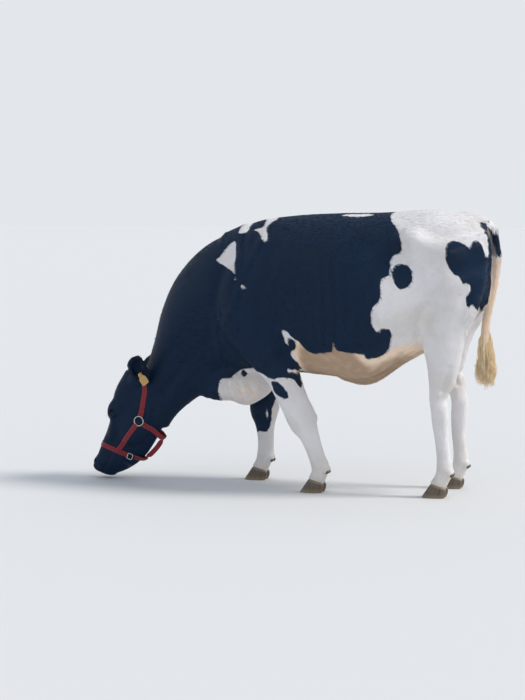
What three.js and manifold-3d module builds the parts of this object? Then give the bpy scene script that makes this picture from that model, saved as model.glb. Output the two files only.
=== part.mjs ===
// A grazing Holstein cow at life size, standing with its head down, in a halter and one ear tag.
// Millimetres, +Z up. The head points to -X and the left side faces -Y. All four feet stand on Z = 0.
import * as THREE from "three";
import { mergeVertices } from "three/addons/utils/BufferGeometryUtils.js";
import Module from "manifold-3d";

// ---------------------------------------------------------------- driving dimensions

const GAP = 0.35; // clearance between neighbouring solids
const FOOT_SPREAD = { fore: 178, hind: 172 }; // each foot's distance from the middle plane
const EYE = { x: -1222, y: 85, z: 356, radius: 22.5 };
const EAR = { root: [-1080, 84, 532], tip: [-1038, 190, 668], halfWidth: 72, thickness: 7, cup: 30 };
const CUTS = { elbow: 600, flank: 735, knee: 392, hock: 478, fetlock: 128 }; // heights of the joints
const CLAW = { length: 118, width: 47, height: 68, heel: 44, apart: 25.5 };
const DEWCLAW = { radius: 14, length: 40, apart: 22 };
const STRAP = { width: 27, thickness: 3.6, lift: 1.2 };
const RING = { x: -1072, z: 323, radius: 25, wire: 3.4 };
const TAG = { width: 44, height: 58, thickness: 3, clearance: 9, stud: 9 };

// ---------------------------------------------------------------- colours

const colours = {
  coatBlack: { color: 0x15171c, roughness: 0.6, metalness: 0 },
  coatWhite: { color: 0xd8d2c8, roughness: 0.75, metalness: 0 },
  horn: { color: 0x5b5148, roughness: 0.5, metalness: 0 },
  eye: { color: 0x1a0f0a, roughness: 0.1, metalness: 0 },
  webbing: { color: 0xa82840, roughness: 0.8, metalness: 0 },
  steel: { color: 0xb9bdc2, roughness: 0.3, metalness: 1 },
  tagPlastic: { color: 0xb98a4a, roughness: 0.5, metalness: 0 },
};
const materials = Object.fromEntries(
  Object.entries(colours).map(([name, look]) => [name, new THREE.MeshStandardMaterial(look)]),
);

// ---------------------------------------------------------------- solids

const wasm = await Module();
wasm.setup();

/** Turns a closed geometry into a solid that can be joined and cut. */
function solidOf(geometry) {
  const bare = geometry.clone();
  bare.deleteAttribute("normal");
  bare.deleteAttribute("uv");
  const merged = mergeVertices(bare, 1e-3);
  return new wasm.Manifold(
    new wasm.Mesh({
      numProp: 3,
      vertProperties: new Float32Array(merged.attributes.position.array),
      triVerts: new Uint32Array(merged.index.array),
    }),
  );
}

/** Turns a solid back into a geometry. */
function geometryOf(solid) {
  const mesh = solid.getMesh();
  const positions = new Float32Array(mesh.numVert * 3);
  for (let i = 0; i < mesh.numVert; i++) {
    positions.set(mesh.vertProperties.subarray(i * mesh.numProp, i * mesh.numProp + 3), i * 3);
  }
  const geometry = new THREE.BufferGeometry();
  geometry.setAttribute("position", new THREE.BufferAttribute(positions, 3));
  geometry.setIndex(new THREE.BufferAttribute(new Uint32Array(mesh.triVerts), 1));
  geometry.computeVertexNormals();
  return geometry;
}

const joined = (solids) => solids.reduce((whole, solid) => whole.add(solid));

/** Keeps the largest body of a solid, dropping slivers that a cut leaves behind. */
function largest(solid) {
  const bodies = solid.decompose();
  return bodies.reduce((best, body) => (body.volume() > best.volume() ? body : best));
}

/** A box between two corners. */
function box(low, high) {
  const size = high.map((h, i) => h - low[i]);
  const geometry = new THREE.BoxGeometry(...size);
  geometry.translate(...high.map((h, i) => (h + low[i]) / 2));
  return solidOf(geometry);
}

/** Everything on the far side of a plane, as a very large box: the plane passes through point. */
function halfSpace(point, normal) {
  const reach = 4000;
  const geometry = new THREE.BoxGeometry(reach, reach, reach);
  geometry.translate(0, 0, reach / 2);
  const turn = new THREE.Quaternion().setFromUnitVectors(
    new THREE.Vector3(0, 0, 1),
    new THREE.Vector3(...normal).normalize(),
  );
  geometry.applyQuaternion(turn);
  geometry.translate(...point);
  return solidOf(geometry);
}

/** Cuts a solid at a plane into [behind, ahead], with a gap between the two. */
function parted(solid, point, normal) {
  const unit = new THREE.Vector3(...normal).normalize().multiplyScalar(GAP / 2);
  const ahead = new THREE.Vector3(...point).add(unit);
  const behind = new THREE.Vector3(...point).sub(unit);
  return [
    solid.intersect(halfSpace(behind.toArray(), normal.map((n) => -n))),
    solid.intersect(halfSpace(ahead.toArray(), normal)),
  ];
}

/** An ellipsoid with its radii along X, Y and Z, then pitched about Y by an angle in degrees. */
function lump([x, y, z], [rx, ry, rz], pitch = 0, grow = 0, detail = 14) {
  const geometry = new THREE.SphereGeometry(1, detail, Math.round(detail * 0.6));
  geometry.scale(rx + grow, ry + grow, rz + grow);
  geometry.rotateY(THREE.MathUtils.degToRad(pitch));
  geometry.translate(x, y, z);
  return solidOf(geometry);
}

// ---------------------------------------------------------------- bodies drawn along a spine

/**
 * One section of a limb: where its spine is, how far the surface lies above it (towards the back
 * on a leg), below it and to each side, and how square the upper and lower halves are (2 is round).
 */
const section = (x, y, z, up, down, side, squareUp = 2, squareDown = 2) => [
  x, y, z, up, down, side, squareUp, squareDown,
];

/** Every value of the sections at position t from 0 to 1, on a smooth curve through them. */
function valuesAt(sections, t) {
  const last = sections.length - 1;
  const place = Math.min(t * last, last - 1e-9);
  const i = Math.floor(place);
  const f = place - i;
  const pick = (k) => sections[Math.max(0, Math.min(last, k))];
  const [a, b, c, d] = [pick(i - 1), pick(i), pick(i + 1), pick(i + 2)];
  return b.map((value, k) => {
    const from = (c[k] - a[k]) / 2;
    const to = (d[k] - value) / 2;
    return (
      value * (2 * f ** 3 - 3 * f ** 2 + 1) +
      from * (f ** 3 - 2 * f ** 2 + f) +
      c[k] * (3 * f ** 2 - 2 * f ** 3) +
      to * (f ** 3 - f ** 2)
    );
  });
}

/** Closes a stack of equal rings of points with a fan at each end, and makes it a solid. */
function stacked(points, sides, ends) {
  const index = [];
  const rings = points.length / sides;
  for (let r = 0; r < rings - 1; r++) {
    for (let k = 0; k < sides; k++) {
      const [a, b] = [r * sides + k, r * sides + ((k + 1) % sides)];
      index.push(a, b, a + sides, b, b + sides, a + sides);
    }
  }
  const lastRing = (rings - 1) * sides;
  for (let k = 0; k < sides; k++) {
    const next = (k + 1) % sides;
    index.push(points.length, next, k, points.length + 1, lastRing + k, lastRing + next);
  }
  const geometry = new THREE.BufferGeometry().setFromPoints([...points, ...ends]);
  geometry.setIndex(index);
  const solid = solidOf(geometry);
  if (solid.volume() > 0) return solid;
  geometry.setIndex(index.reverse());
  return solidOf(geometry);
}

/**
 * A closed solid along a spine of sections. Each ring is a superellipse: its side axis is level,
 * and its up axis is the spine's direction turned a quarter towards +Z. Upright rings stay square
 * to X instead. caps gives how far each rounded end reaches past the first and the last section,
 * and grow moves the whole surface outwards.
 */
function limb(sections, options) {
  const { rings, sides, caps = [30, 30], grow = 0, capRings = 2, upright = false } = options;
  const points = [];
  const tangentAt = (t) => {
    if (upright) return new THREE.Vector3(1, 0, 0);
    const step = 0.5 / rings;
    const a = valuesAt(sections, Math.max(0, t - step));
    const b = valuesAt(sections, Math.min(1, t + step));
    return new THREE.Vector3(b[0] - a[0], b[1] - a[1], b[2] - a[2]).normalize();
  };
  const addRing = (t, along, shrink) => {
    const [x, y, z, up, down, side, squareUp, squareDown] = valuesAt(sections, t);
    const tangent = tangentAt(t);
    const across = new THREE.Vector3(0, 1, 0).addScaledVector(tangent, -tangent.y).normalize();
    const rise = new THREE.Vector3().crossVectors(tangent, across);
    const centre = new THREE.Vector3(x, y, z).addScaledVector(tangent, along);
    for (let k = 0; k < sides; k++) {
      const angle = (2 * Math.PI * k) / sides;
      const [c, s] = [Math.cos(angle), Math.sin(angle)];
      const square = s >= 0 ? squareUp : squareDown;
      const v = Math.sign(c) * Math.abs(c) ** (2 / square) * (side + grow) * shrink;
      const u = Math.sign(s) * Math.abs(s) ** (2 / square) * ((s >= 0 ? up : down) + grow) * shrink;
      points.push(centre.clone().addScaledVector(across, v).addScaledVector(rise, u));
    }
  };
  const capTurn = (j) => (Math.PI / 2) * (j / (capRings + 1));
  for (let j = capRings; j >= 1; j--) {
    addRing(0, -(caps[0] + grow) * Math.sin(capTurn(j)), Math.cos(capTurn(j)));
  }
  for (let i = 0; i <= rings; i++) addRing(i / rings, 0, 1);
  for (let j = 1; j <= capRings; j++) {
    addRing(1, (caps[1] + grow) * Math.sin(capTurn(j)), Math.cos(capTurn(j)));
  }
  const ends = [0, 1].map((t) => {
    const [x, y, z] = valuesAt(sections, t);
    const reach = t === 0 ? -(caps[0] + grow) : caps[1] + grow;
    return new THREE.Vector3(x, y, z).addScaledVector(tangentAt(t), reach);
  });
  return stacked(points, sides, ends);
}

// ---------------------------------------------------------------- trunk, neck and brisket

/** Barrel, from the front of the chest to the buttocks: rings square to X. */
const trunkSections = [
  section(-610, 0, 900, 420, 280, 150, 1.8, 2.2),
  section(-500, 0, 900, 466, 300, 196, 1.75, 2.2),
  section(-400, 0, 905, 492, 305, 226, 1.75, 2.2),
  section(-280, 0, 905, 508, 310, 254, 1.8, 2.2),
  section(-150, 0, 900, 524, 308, 286, 1.9, 2.2),
  section(0, 0, 895, 535, 315, 320, 2.0, 2.2),
  section(110, 0, 890, 542, 330, 335, 2.05, 2.15),
  section(220, 0, 900, 534, 320, 331, 2.1, 2.1),
  section(320, 0, 925, 514, 276, 310, 2.15, 2.1),
  section(420, 0, 965, 484, 258, 280, 2.3, 2.1),
  section(500, 0, 1005, 446, 250, 258, 2.45, 2.1),
  section(600, 0, 1050, 391, 250, 232, 2.4, 2.1),
  section(690, 0, 1080, 348, 218, 190, 2.2, 2.1),
  section(765, 0, 1110, 292, 152, 128, 2.0, 2.1),
];

/** Neck, from inside the head to inside the shoulders. */
const neckSections = [
  section(-1088, 0, 362, 60, 168, 72, 2, 2),
  section(-1050, 0, 440, 100, 184, 84, 2, 2),
  section(-990, 0, 555, 92, 234, 96, 1.8, 2),
  section(-905, 0, 690, 130, 288, 108, 1.7, 2),
  section(-820, 0, 820, 186, 335, 130, 1.7, 2),
  section(-720, 0, 925, 244, 372, 160, 1.7, 2),
  section(-600, 0, 990, 302, 380, 190, 1.75, 2.1),
  section(-470, 0, 1010, 355, 380, 205, 1.8, 2.1),
];

/** Brisket, the fold of flesh that hangs under the chest. */
const brisketSections = [
  section(-720, 0, 505, 90, 62, 44),
  section(-660, 0, 505, 110, 72, 66),
  section(-580, 0, 505, 130, 72, 84),
  section(-500, 0, 500, 140, 88, 86),
  section(-430, 0, 510, 150, 60, 80),
  section(-365, 0, 550, 140, 42, 74),
  section(-290, 0, 605, 110, 44, 84),
];

/** Fold of skin under the belly, from the navel back to the groin. */
const bellyFoldSections = [
  section(40, 0, 605, 40, 42, 34),
  section(95, 0, 605, 50, 60, 46),
  section(150, 0, 608, 50, 64, 44),
  section(215, 0, 645, 45, 56, 36),
  section(310, 0, 705, 40, 52, 30),
  section(410, 0, 760, 35, 52, 26),
];

/** The root of the tail, a ridge that runs out from the rump between the pin bones. */
const tailHeadSections = [
  section(640, 0, 1385, 42, 60, 60),
  section(700, 0, 1376, 46, 60, 52),
  section(752, 0, 1362, 44, 50, 42),
  section(790, 0, 1330, 42, 40, 35),
];

/** The shoulder blade and upper arm under the skin, for a side of -1 or 1 and a shift along X. */
function shoulderSections(side, shift) {
  return [
    section(-378, side * 76, 1275, 92, 110, 36),
    section(-415 + shift * 0.1, side * 138, 1150, 130, 134, 58),
    section(-462 + shift * 0.2, side * 172, 1020, 148, 142, 66),
    section(-490 + shift * 0.3, side * 188, 890, 158, 124, 68),
    section(-430 + shift * 0.5, side * 192, 780, 145, 115, 70),
    section(-360 + shift * 0.8, side * 186, 690, 118, 112, 68),
  ];
}

/** The side of the pelvis under the skin, from in front of the hook bone back to the pin bone. */
function pelvisSections(side) {
  return [
    section(325, side * 158, 1262, 42, 90, 44),
    section(415, side * 196, 1292, 68, 110, 66),
    section(510, side * 192, 1256, 72, 130, 68),
    section(615, side * 180, 1226, 78, 140, 74),
    section(705, side * 142, 1250, 74, 110, 62),
    section(772, side * 104, 1268, 58, 84, 48),
  ];
}

function trunkSolid(grow = 0) {
  const solids = [
    limb(trunkSections, { rings: 15, sides: 18, caps: [60, 34], upright: true, grow }),
    limb(brisketSections, { rings: 7, sides: 8, caps: [38, 40], grow }),
    limb(bellyFoldSections, { rings: 6, sides: 7, caps: [34, 20], grow }),
    limb(tailHeadSections, { rings: 4, sides: 8, caps: [40, 22], grow }),
  ];
  for (const side of [-1, 1]) {
    solids.push(
      limb(shoulderSections(side, side < 0 ? 60 : -50), { rings: 5, sides: 8, caps: [50, 60], grow }),
      limb(pelvisSections(side), { rings: 8, sides: 9, caps: [46, 34], grow }),
      lump([540, side * 44, 790], [86, 52, 86], 0, grow, 8), // udder of a young cow
    );
  }
  return joined(solids);
}

const neckSolid = (grow = 0) =>
  limb(neckSections, { rings: 10, sides: 16, caps: [40, 40], grow });

// ---------------------------------------------------------------- legs

/** Hind legs from rump to coronet: height, middle, back, front, half width and outward bow. */
const leftHind = [
  [1250, 640, 155, 120, 60, -40],
  [1150, 620, 172, 150, 92, -30],
  [1060, 615, 172, 160, 108, -20],
  [980, 612, 148, 160, 108, -12],
  [890, 592, 134, 150, 98, -8],
  [810, 586, 112, 128, 84, -5],
  [735, 578, 102, 103, 70, -3],
  [675, 572, 98, 79, 60, -1],
  [600, 566, 84, 62, 50, 0],
  [540, 560, 60, 52, 45, 0],
  [494, 556, 48, 46, 44, 0],
  [440, 563, 48, 46, 42, 0],
  [370, 569, 45, 44, 36, 0],
  [290, 577, 38, 38, 31, 0],
  [210, 586, 39, 38, 31, 0],
  [140, 592, 47, 44, 40, 0],
  [100, 580, 43, 41, 40, 0],
  [62, 562, 42, 46, 44, 0],
];

/** How far back the right hind leg stands from the left one, at each of the same heights. */
const rightHindShift = [0, 0, 0, -8, -16, -26, -34, -38, -30, 10, 34, 36, 26, 16, 16, 16, 16, 16];

/** Forelegs from upper arm to coronet: height, back, front, half width and outward bow. */
const foreProfile = [
  [760, 95, 110, 62, -6],
  [670, 105, 110, 68, -4],
  [590, 88, 95, 66, -2],
  [520, 80, 88, 60, 0],
  [450, 76, 82, 55, 0],
  [393, 79, 83, 55, 0],
  [348, 73, 77, 52, 0],
  [298, 56, 59, 41, 0],
  [238, 48, 49, 35, 0],
  [180, 47, 46, 35, 0],
  [132, 50, 48, 42, 0],
  [95, 44, 45, 42, 0],
  [62, 42, 46, 44, 0],
];

/** The left foreleg reaches back under the chest, and the right one stands straight down. */
const foreLines = {
  left: [-330, -290, -247, -216, -184, -157, -139, -114, -91, -71, -54, -58, -72],
  right: [-445, -445, -445, -450, -457, -460, -458, -455, -452, -452, -455, -466, -482],
};

const hindSections = (side) =>
  leftHind.map(([z, middle, back, front, half, bow], i) => {
    const x = side < 0 ? middle : middle + rightHindShift[i];
    return section(x, side * (FOOT_SPREAD.hind + bow), z, back, front, half);
  });

const foreSections = (side, line) =>
  foreProfile.map(([z, back, front, half, bow], i) =>
    section(line[i], side * (FOOT_SPREAD.fore + bow), z, back, front, half),
  );

const legs = [
  { name: "left_hind", side: -1, sections: hindSections(-1), hind: true },
  { name: "right_hind", side: 1, sections: hindSections(1), hind: true },
  { name: "left_fore", side: -1, sections: foreSections(-1, foreLines.left), hind: false },
  { name: "right_fore", side: 1, sections: foreSections(1, foreLines.right), hind: false },
];

const legSolid = (leg, grow = 0) =>
  limb(leg.sections, { rings: leg.hind ? 19 : 16, sides: 9, caps: [60, 26], grow });

/** Where a leg's foot stands: the middle of the coronet, seen from above. */
const footOf = (leg) => {
  const [x, y] = leg.sections[leg.sections.length - 1];
  return { x, y };
};

/** Point and normal of the slanting plane between the pastern and the claws. */
function coronetPlane(leg) {
  const rise = (CLAW.height - CLAW.heel) / CLAW.length;
  const middle = (CLAW.height + CLAW.heel) / 2;
  return { point: [footOf(leg).x - 4, footOf(leg).y, middle], normal: [rise, 0, 1] };
}

/** One claw, above a flat sole: rounded at the toe and narrowing up the sloping front wall. */
function claw(leg, inward) {
  const foot = footOf(leg);
  const steps = 9;
  const levels = [0, 0.1, 1.5];
  const points = [];
  const pointOf = (level, c, s) => {
    const bulge = level === 0 ? 0.965 : 1;
    const along = Math.sign(c) * Math.abs(c) ** 0.8 * (CLAW.length / 2) * (1 - 0.11 * level) * bulge;
    const taper = 1 - 0.25 * Math.max(0, -c);
    const half = (CLAW.width / 2) * taper * (1 - 0.04 * level) * bulge;
    const lean = CLAW.height * level * 0.4;
    const y = foot.y + inward * CLAW.apart + Math.sign(s) * Math.abs(s) ** 0.8 * half;
    return new THREE.Vector3(foot.x - 24 + along + lean, y, level * CLAW.height);
  };
  for (const level of levels) {
    for (let k = 0; k < steps; k++) {
      const angle = (2 * Math.PI * k) / steps;
      points.push(pointOf(level, Math.cos(angle), Math.sin(angle)));
    }
  }
  const ends = [pointOf(levels[0], 0, 0), pointOf(levels[levels.length - 1], 0, 0)];
  return stacked(points, steps, ends);
}

/** A dewclaw: a blunt cone behind the fetlock that points down and back. */
function dewclaw(leg, inward) {
  const [x, y, z, back] = leg.sections[leg.sections.length - 3];
  const steps = 6;
  const outline = [
    [0.5, -0.5],
    [0.9, -0.2],
    [1, 0.15],
    [0.8, 0.4],
  ];
  const down = new THREE.Vector3(0.55, 0, -0.835);
  const out = new THREE.Vector3(0.835, 0, 0.55);
  const centre = new THREE.Vector3(x + back - 2, y + inward * DEWCLAW.apart, z - 24);
  const placed = (radius, along, angle) =>
    centre
      .clone()
      .addScaledVector(down, -along * DEWCLAW.length)
      .addScaledVector(out, radius * DEWCLAW.radius * Math.sin(angle))
      .add(new THREE.Vector3(0, radius * DEWCLAW.radius * Math.cos(angle), 0));
  const points = outline.flatMap(([radius, along]) =>
    Array.from({ length: steps }, (_, k) => placed(radius, along, (2 * Math.PI * k) / steps)),
  );
  return stacked(points, steps, [placed(0, -0.58, 0), placed(0, 0.45, 0)]);
}

// ---------------------------------------------------------------- head

/** Head, from the muzzle to the poll. The spine runs at eye level, below the flat forehead. */
const headSections = [
  section(-1318, 0, 60, 44, 90, 60, 2.6, 2.2),
  section(-1296, 0, 110, 47, 142, 64, 2.6, 2.0),
  section(-1267, 0, 176, 50, 186, 62, 2.6, 1.8),
  section(-1231, 0, 257, 52, 214, 74, 2.6, 1.7),
  section(-1196, 0, 348, 58, 230, 92, 2.8, 1.7),
  section(-1159, 0, 446, 80, 228, 97, 2.7, 1.8),
  section(-1112, 0, 545, 77, 180, 84, 2.3, 2.0),
];

function headSolid(grow = 0) {
  const solids = [limb(headSections, { rings: 10, sides: 16, caps: [34, 34], grow })];
  for (const side of [-1, 1]) {
    solids.push(
      lump([-1216, side * 72, 378], [44, 36, 58], 20, grow, 9), // brow over the eye
      lump([-1116, side * 56, 290], [80, 40, 104], 25, grow, 8), // cheek muscle
      lump([-1318, side * 38, 84], [38, 30, 44], 20, grow, 8), // nostril
      lump([-1096, side * 72, 535], [40, 34, 44], 20, grow, 7), // root of the ear
    );
  }
  return joined(solids);
}

/** An ear: a leaf-shaped cup that rises back and out from the poll and opens forwards. */
function ear(side, grow = 0) {
  const root = new THREE.Vector3(EAR.root[0], side * EAR.root[1], EAR.root[2]);
  const tip = new THREE.Vector3(EAR.tip[0], side * EAR.tip[1], EAR.tip[2]);
  const axis = tip.clone().sub(root);
  const facing = new THREE.Vector3(-0.3, side * 0.85, -0.35);
  const open = facing.addScaledVector(axis, -facing.dot(axis) / axis.lengthSq()).normalize();
  const across = new THREE.Vector3().crossVectors(axis, open).normalize();
  const steps = 7;
  const rim = 8;
  const points = [];
  const pointOf = (t, angle) => {
    const half = EAR.halfWidth * (0.42 + 0.58 * Math.sin(Math.PI * Math.min(1, 0.12 + t * 0.9)));
    const reach = t > 0.8 ? Math.sqrt(Math.max(0.02, 1 - ((t - 0.8) / 0.21) ** 2)) : 1;
    const s = Math.cos(angle) * (half * reach + grow);
    const hollow = EAR.cup * Math.sin(Math.PI * (0.3 + 0.6 * t)) * (1 - Math.min(1, s / half) ** 2);
    const thick = Math.sin(angle) * (EAR.thickness * (1.7 - t) * (0.4 + 0.6 * reach) + grow);
    return root.clone().addScaledVector(axis, t).addScaledVector(across, s)
      .addScaledVector(open, thick - hollow);
  };
  for (let i = 0; i <= steps; i++) {
    for (let k = 0; k < rim; k++) points.push(pointOf(i / steps, (2 * Math.PI * k) / rim));
  }
  return stacked(points, rim, [pointOf(0, Math.PI / 2), pointOf(1.01, Math.PI / 2)]);
}

const eyeball = (side, grow = 0) =>
  lump([EYE.x, side * EYE.y, EYE.z], [EYE.radius, EYE.radius, EYE.radius], 0, grow, 12);

// ---------------------------------------------------------------- tail

const dockSections = [
  section(800, 0, 1318, 28, 34, 33),
  section(806, -2, 1266, 30, 32, 32),
  section(813, -6, 1204, 33, 33, 33),
  section(808, -9, 1130, 31, 31, 31),
  section(796, -12, 1050, 29, 29, 29),
  section(781, -12, 970, 27, 27, 27),
  section(768, -12, 890, 25, 25, 25),
  section(763, -12, 810, 27, 27, 27),
];
const switchSections = [
  section(763, -12, 810, 27, 27, 27),
  section(761, -12, 750, 33, 33, 31),
  section(762, -11, 700, 43, 43, 37),
  section(766, -9, 645, 55, 56, 44),
  section(768, -7, 600, 50, 52, 40),
  section(772, -5, 565, 28, 30, 26),
];
const dockSolid = () => limb(dockSections, { rings: 10, sides: 7, caps: [40, 14], capRings: 1 });
const switchSolid = () => limb(switchSections, { rings: 6, sides: 9, caps: [14, 24] });

// ---------------------------------------------------------------- halter and ear tag

/** A strap's worth of space between two planes square to the middle plane, along a line in XZ. */
function slab([x, z], [dx, dz], width = STRAP.width) {
  const length = Math.hypot(dx, dz);
  const normal = [-dz / length, 0, dx / length];
  const shifted = (offset) => [x + normal[0] * offset, 0, z + normal[2] * offset];
  return halfSpace(shifted(-width / 2), normal).intersect(
    halfSpace(shifted(width / 2), normal.map((n) => -n)),
  );
}

/** Keeps what lies ahead of a point along a direction in the XZ plane. */
const beyond = (solid, [x, z], [dx, dz]) => solid.intersect(halfSpace([x, 0, z], [dx, 0, dz]));

const sideBox = (side, inner = 0) =>
  side < 0 ? box([-4000, -2000, -100], [4000, -inner, 3000]) : box([-4000, inner, -100], [4000, 2000, 3000]);

/** The head and the neck behind it, with the room that the loose straps leave under the jaw. */
function haltered(grow, slack) {
  const solids = [headSolid(grow), neckSolid(grow)];
  if (slack) solids.push(lump([-1085, 0, 140], [42, 38, 40], 0, grow, 9));
  if (slack) solids.push(lump([-992, 0, 250], [44, 34, 40], 0, grow, 9));
  return joined(solids);
}

/** The layer of space that a strap takes up round the head. */
const strapLayer = (slack) =>
  haltered(STRAP.lift + STRAP.thickness, slack).subtract(haltered(STRAP.lift, slack));

/** A bore through the head along Y. */
function bore([x, z], radius) {
  const geometry = new THREE.CylinderGeometry(radius, radius, 800, 14);
  geometry.translate(x, 0, z);
  return solidOf(geometry);
}

/** Where the straps run, as points [x, z] in the middle plane. */
const PATHS = {
  ring: [RING.x, RING.z],
  crownBend: [-1040, 489],
  crownTop: [-1078, 680],
  bridge: [-1302, 190],
  link: [-1141, 126],
  chin: [-1040, 96],
  cheekFoot: [-1196, 170],
  throat: [-955, 214],
};
const towards = ([x0, z0], [x1, z1]) => [x1 - x0, z1 - z0];
const opposite = (direction) => direction.map((n) => -n);

/** The straps on one layer, as solids by name. */
function strapSolids() {
  const layer = strapLayer(false);
  const looseLayer = strapLayer(true);
  const strap = (from, to, around = layer) =>
    beyond(around.intersect(slab(from, towards(from, to))), from, towards(from, to));
  const ringBore = bore(PATHS.ring, RING.radius - 5);
  const linkBore = bore(PATHS.link, 13);
  const clearOf = (from, to) => slab(from, towards(from, to), STRAP.width + 2 * GAP);

  const noseband = strap(PATHS.link, PATHS.bridge).subtract(linkBore);
  const underChin = halfSpace([-1000, 0, 130], [-0.6, 0, -0.8]);
  const chin = strap(PATHS.link, PATHS.chin, looseLayer)
    .intersect(underChin)
    .subtract(linkBore)
    .subtract(clearOf(PATHS.link, PATHS.bridge));

  const lowerCrown = towards(PATHS.ring, PATHS.crownBend);
  const upperCrown = towards(PATHS.crownBend, PATHS.crownTop);
  const bend = [lowerCrown[0] + upperCrown[0], lowerCrown[1] + upperCrown[1]];
  const pastBend = [PATHS.crownBend[0], PATHS.crownBend[1] + 3];
  const lower = beyond(strap(PATHS.ring, PATHS.crownBend), pastBend, opposite(bend));
  const upper = beyond(layer.intersect(slab(PATHS.crownBend, upperCrown)), PATHS.crownBend, bend);
  const crown = lower.add(upper).subtract(ringBore);

  const throat = strap(PATHS.ring, PATHS.throat, looseLayer).subtract(ringBore);
  const cheeks = beyond(strap(PATHS.ring, PATHS.cheekFoot), PATHS.cheekFoot, [0.35, 0.94])
    .subtract(ringBore)
    .subtract(clearOf(PATHS.link, PATHS.bridge))
    .subtract(clearOf(PATHS.ring, PATHS.throat));
  const cheek = (side) => cheeks.intersect(sideBox(side, 30));
  return { noseband, chin, crown, throat, cheek_left: cheek(-1), cheek_right: cheek(1) };
}

/** How far the outer face of the straps lies from the middle plane round a bore. */
function surfaceAt(layer, at, radius) {
  const bounds = layer.intersect(bore(at, radius)).boundingBox();
  return Math.max(Math.abs(bounds.min[1]), Math.abs(bounds.max[1]));
}

/** A steel ring that lies flat against one side of the head: 4 segments make it square. */
function ring(side, at, radius, wire, segments) {
  const surface = surfaceAt(strapLayer(false), at, radius + wire);
  const geometry = new THREE.TorusGeometry(radius, wire, 4, segments);
  geometry.rotateZ(Math.PI / 4);
  geometry.rotateX(Math.PI / 2);
  geometry.translate(at[0], side * (surface + wire + GAP), at[1]);
  return solidOf(geometry);
}

/** The strap that joins the chin to the throat, hanging a little below the jaw: it turns on edge between them. */
function jawStrap() {
  const thin = STRAP.thickness / 2;
  const half = STRAP.width / 2;
  const sections = [
    section(-1052, 0, 92, thin, thin, half, 9, 9),
    section(-1042, 0, 108, 7, 7, 9, 9, 9),
    section(-1029, 0, 129, half, half, thin, 9, 9),
    section(-995, 0, 174, half, half, thin, 9, 9),
    section(-970, 0, 201, 7, 7, 9, 9, 9),
    section(-946, 0, 224, thin, thin, half, 9, 9),
  ];
  return limb(sections, { rings: 11, sides: 8, caps: [1, 1], capRings: 1 });
}

/** The ear tag on the left ear: a waisted plate on a stud, with its button behind the ear. */
function tagSolids() {
  const plate = new THREE.Shape();
  const [w, h] = [TAG.width / 2, TAG.height];
  plate.moveTo(-11, 11).lineTo(11, 11).lineTo(13, -8).lineTo(w, -18).lineTo(w, -h);
  plate.lineTo(-w, -h).lineTo(-w, -18).lineTo(-13, -8).closePath();
  const geometry = new THREE.ExtrudeGeometry(plate, { depth: TAG.thickness, bevelEnabled: false });
  const stud = new THREE.CylinderGeometry(TAG.stud, TAG.stud, 4, 12).rotateX(Math.PI / 2);
  stud.translate(0, 0, TAG.thickness + 2.4);
  const down = new THREE.Vector3(0.6, -0.12, -0.79).normalize();
  const facing = new THREE.Vector3(0.05, -0.95, -0.25);
  const normal = facing.addScaledVector(down, -facing.dot(down)).normalize();
  const across = new THREE.Vector3().crossVectors(down.clone().negate(), normal);
  const turn = new THREE.Matrix4().makeBasis(across, down.clone().negate(), normal);
  turn.setPosition(new THREE.Vector3(-1040, -144, 573).addScaledVector(normal, TAG.clearance));
  return [solidOf(geometry.applyMatrix4(turn)), solidOf(stud.applyMatrix4(turn))];
}

// ---------------------------------------------------------------- the flesh, joined and then parted

const group = new THREE.Group();
const add = (name, solid, material) => {
  const mesh = new THREE.Mesh(geometryOf(largest(solid)), materials[material]);
  mesh.name = name;
  group.add(mesh);
};

/** The place on a leg's spine at a given height, and the direction up the leg there. */
function jointAt(leg, height) {
  let t = 0;
  while (valuesAt(leg.sections, t)[2] > height) t += 0.001;
  const [a, b] = [valuesAt(leg.sections, t), valuesAt(leg.sections, t - 0.02)];
  return { point: a.slice(0, 3), up: [b[0] - a[0], b[1] - a[1], b[2] - a[2]] };
}

/** The space of one leg below its cut, with an optional margin. */
function legSpace(leg, margin = 0) {
  const top = (leg.hind ? CUTS.flank : CUTS.elbow) + margin;
  const inner = (leg.hind ? 88 : 100) - margin;
  const [low, high] = leg.hind ? [440, 1000] : leg.side < 0 ? [-430, -20] : [-640, -335];
  const [y0, y1] = leg.side < 0 ? [-600, -inner] : [inner, 600];
  return box([low - margin, y0, -100], [high + margin, y1, top]);
}

let body = joined([trunkSolid(), neckSolid(), headSolid(), ...legs.map((leg) => legSolid(leg))]);
for (const side of [-1, 1]) body = body.subtract(eyeball(side, GAP));

const whole = body;
const [head, behindHead] = parted(body, [-1010, 0, 470], [0.92, 0, 0.39]);
const [neck, behindNeck] = parted(behindHead, [-632, 0, 900], [0.987, 0, -0.157]);
add("head", head, "coatBlack");
add("neck", neck, "coatBlack");

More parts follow.
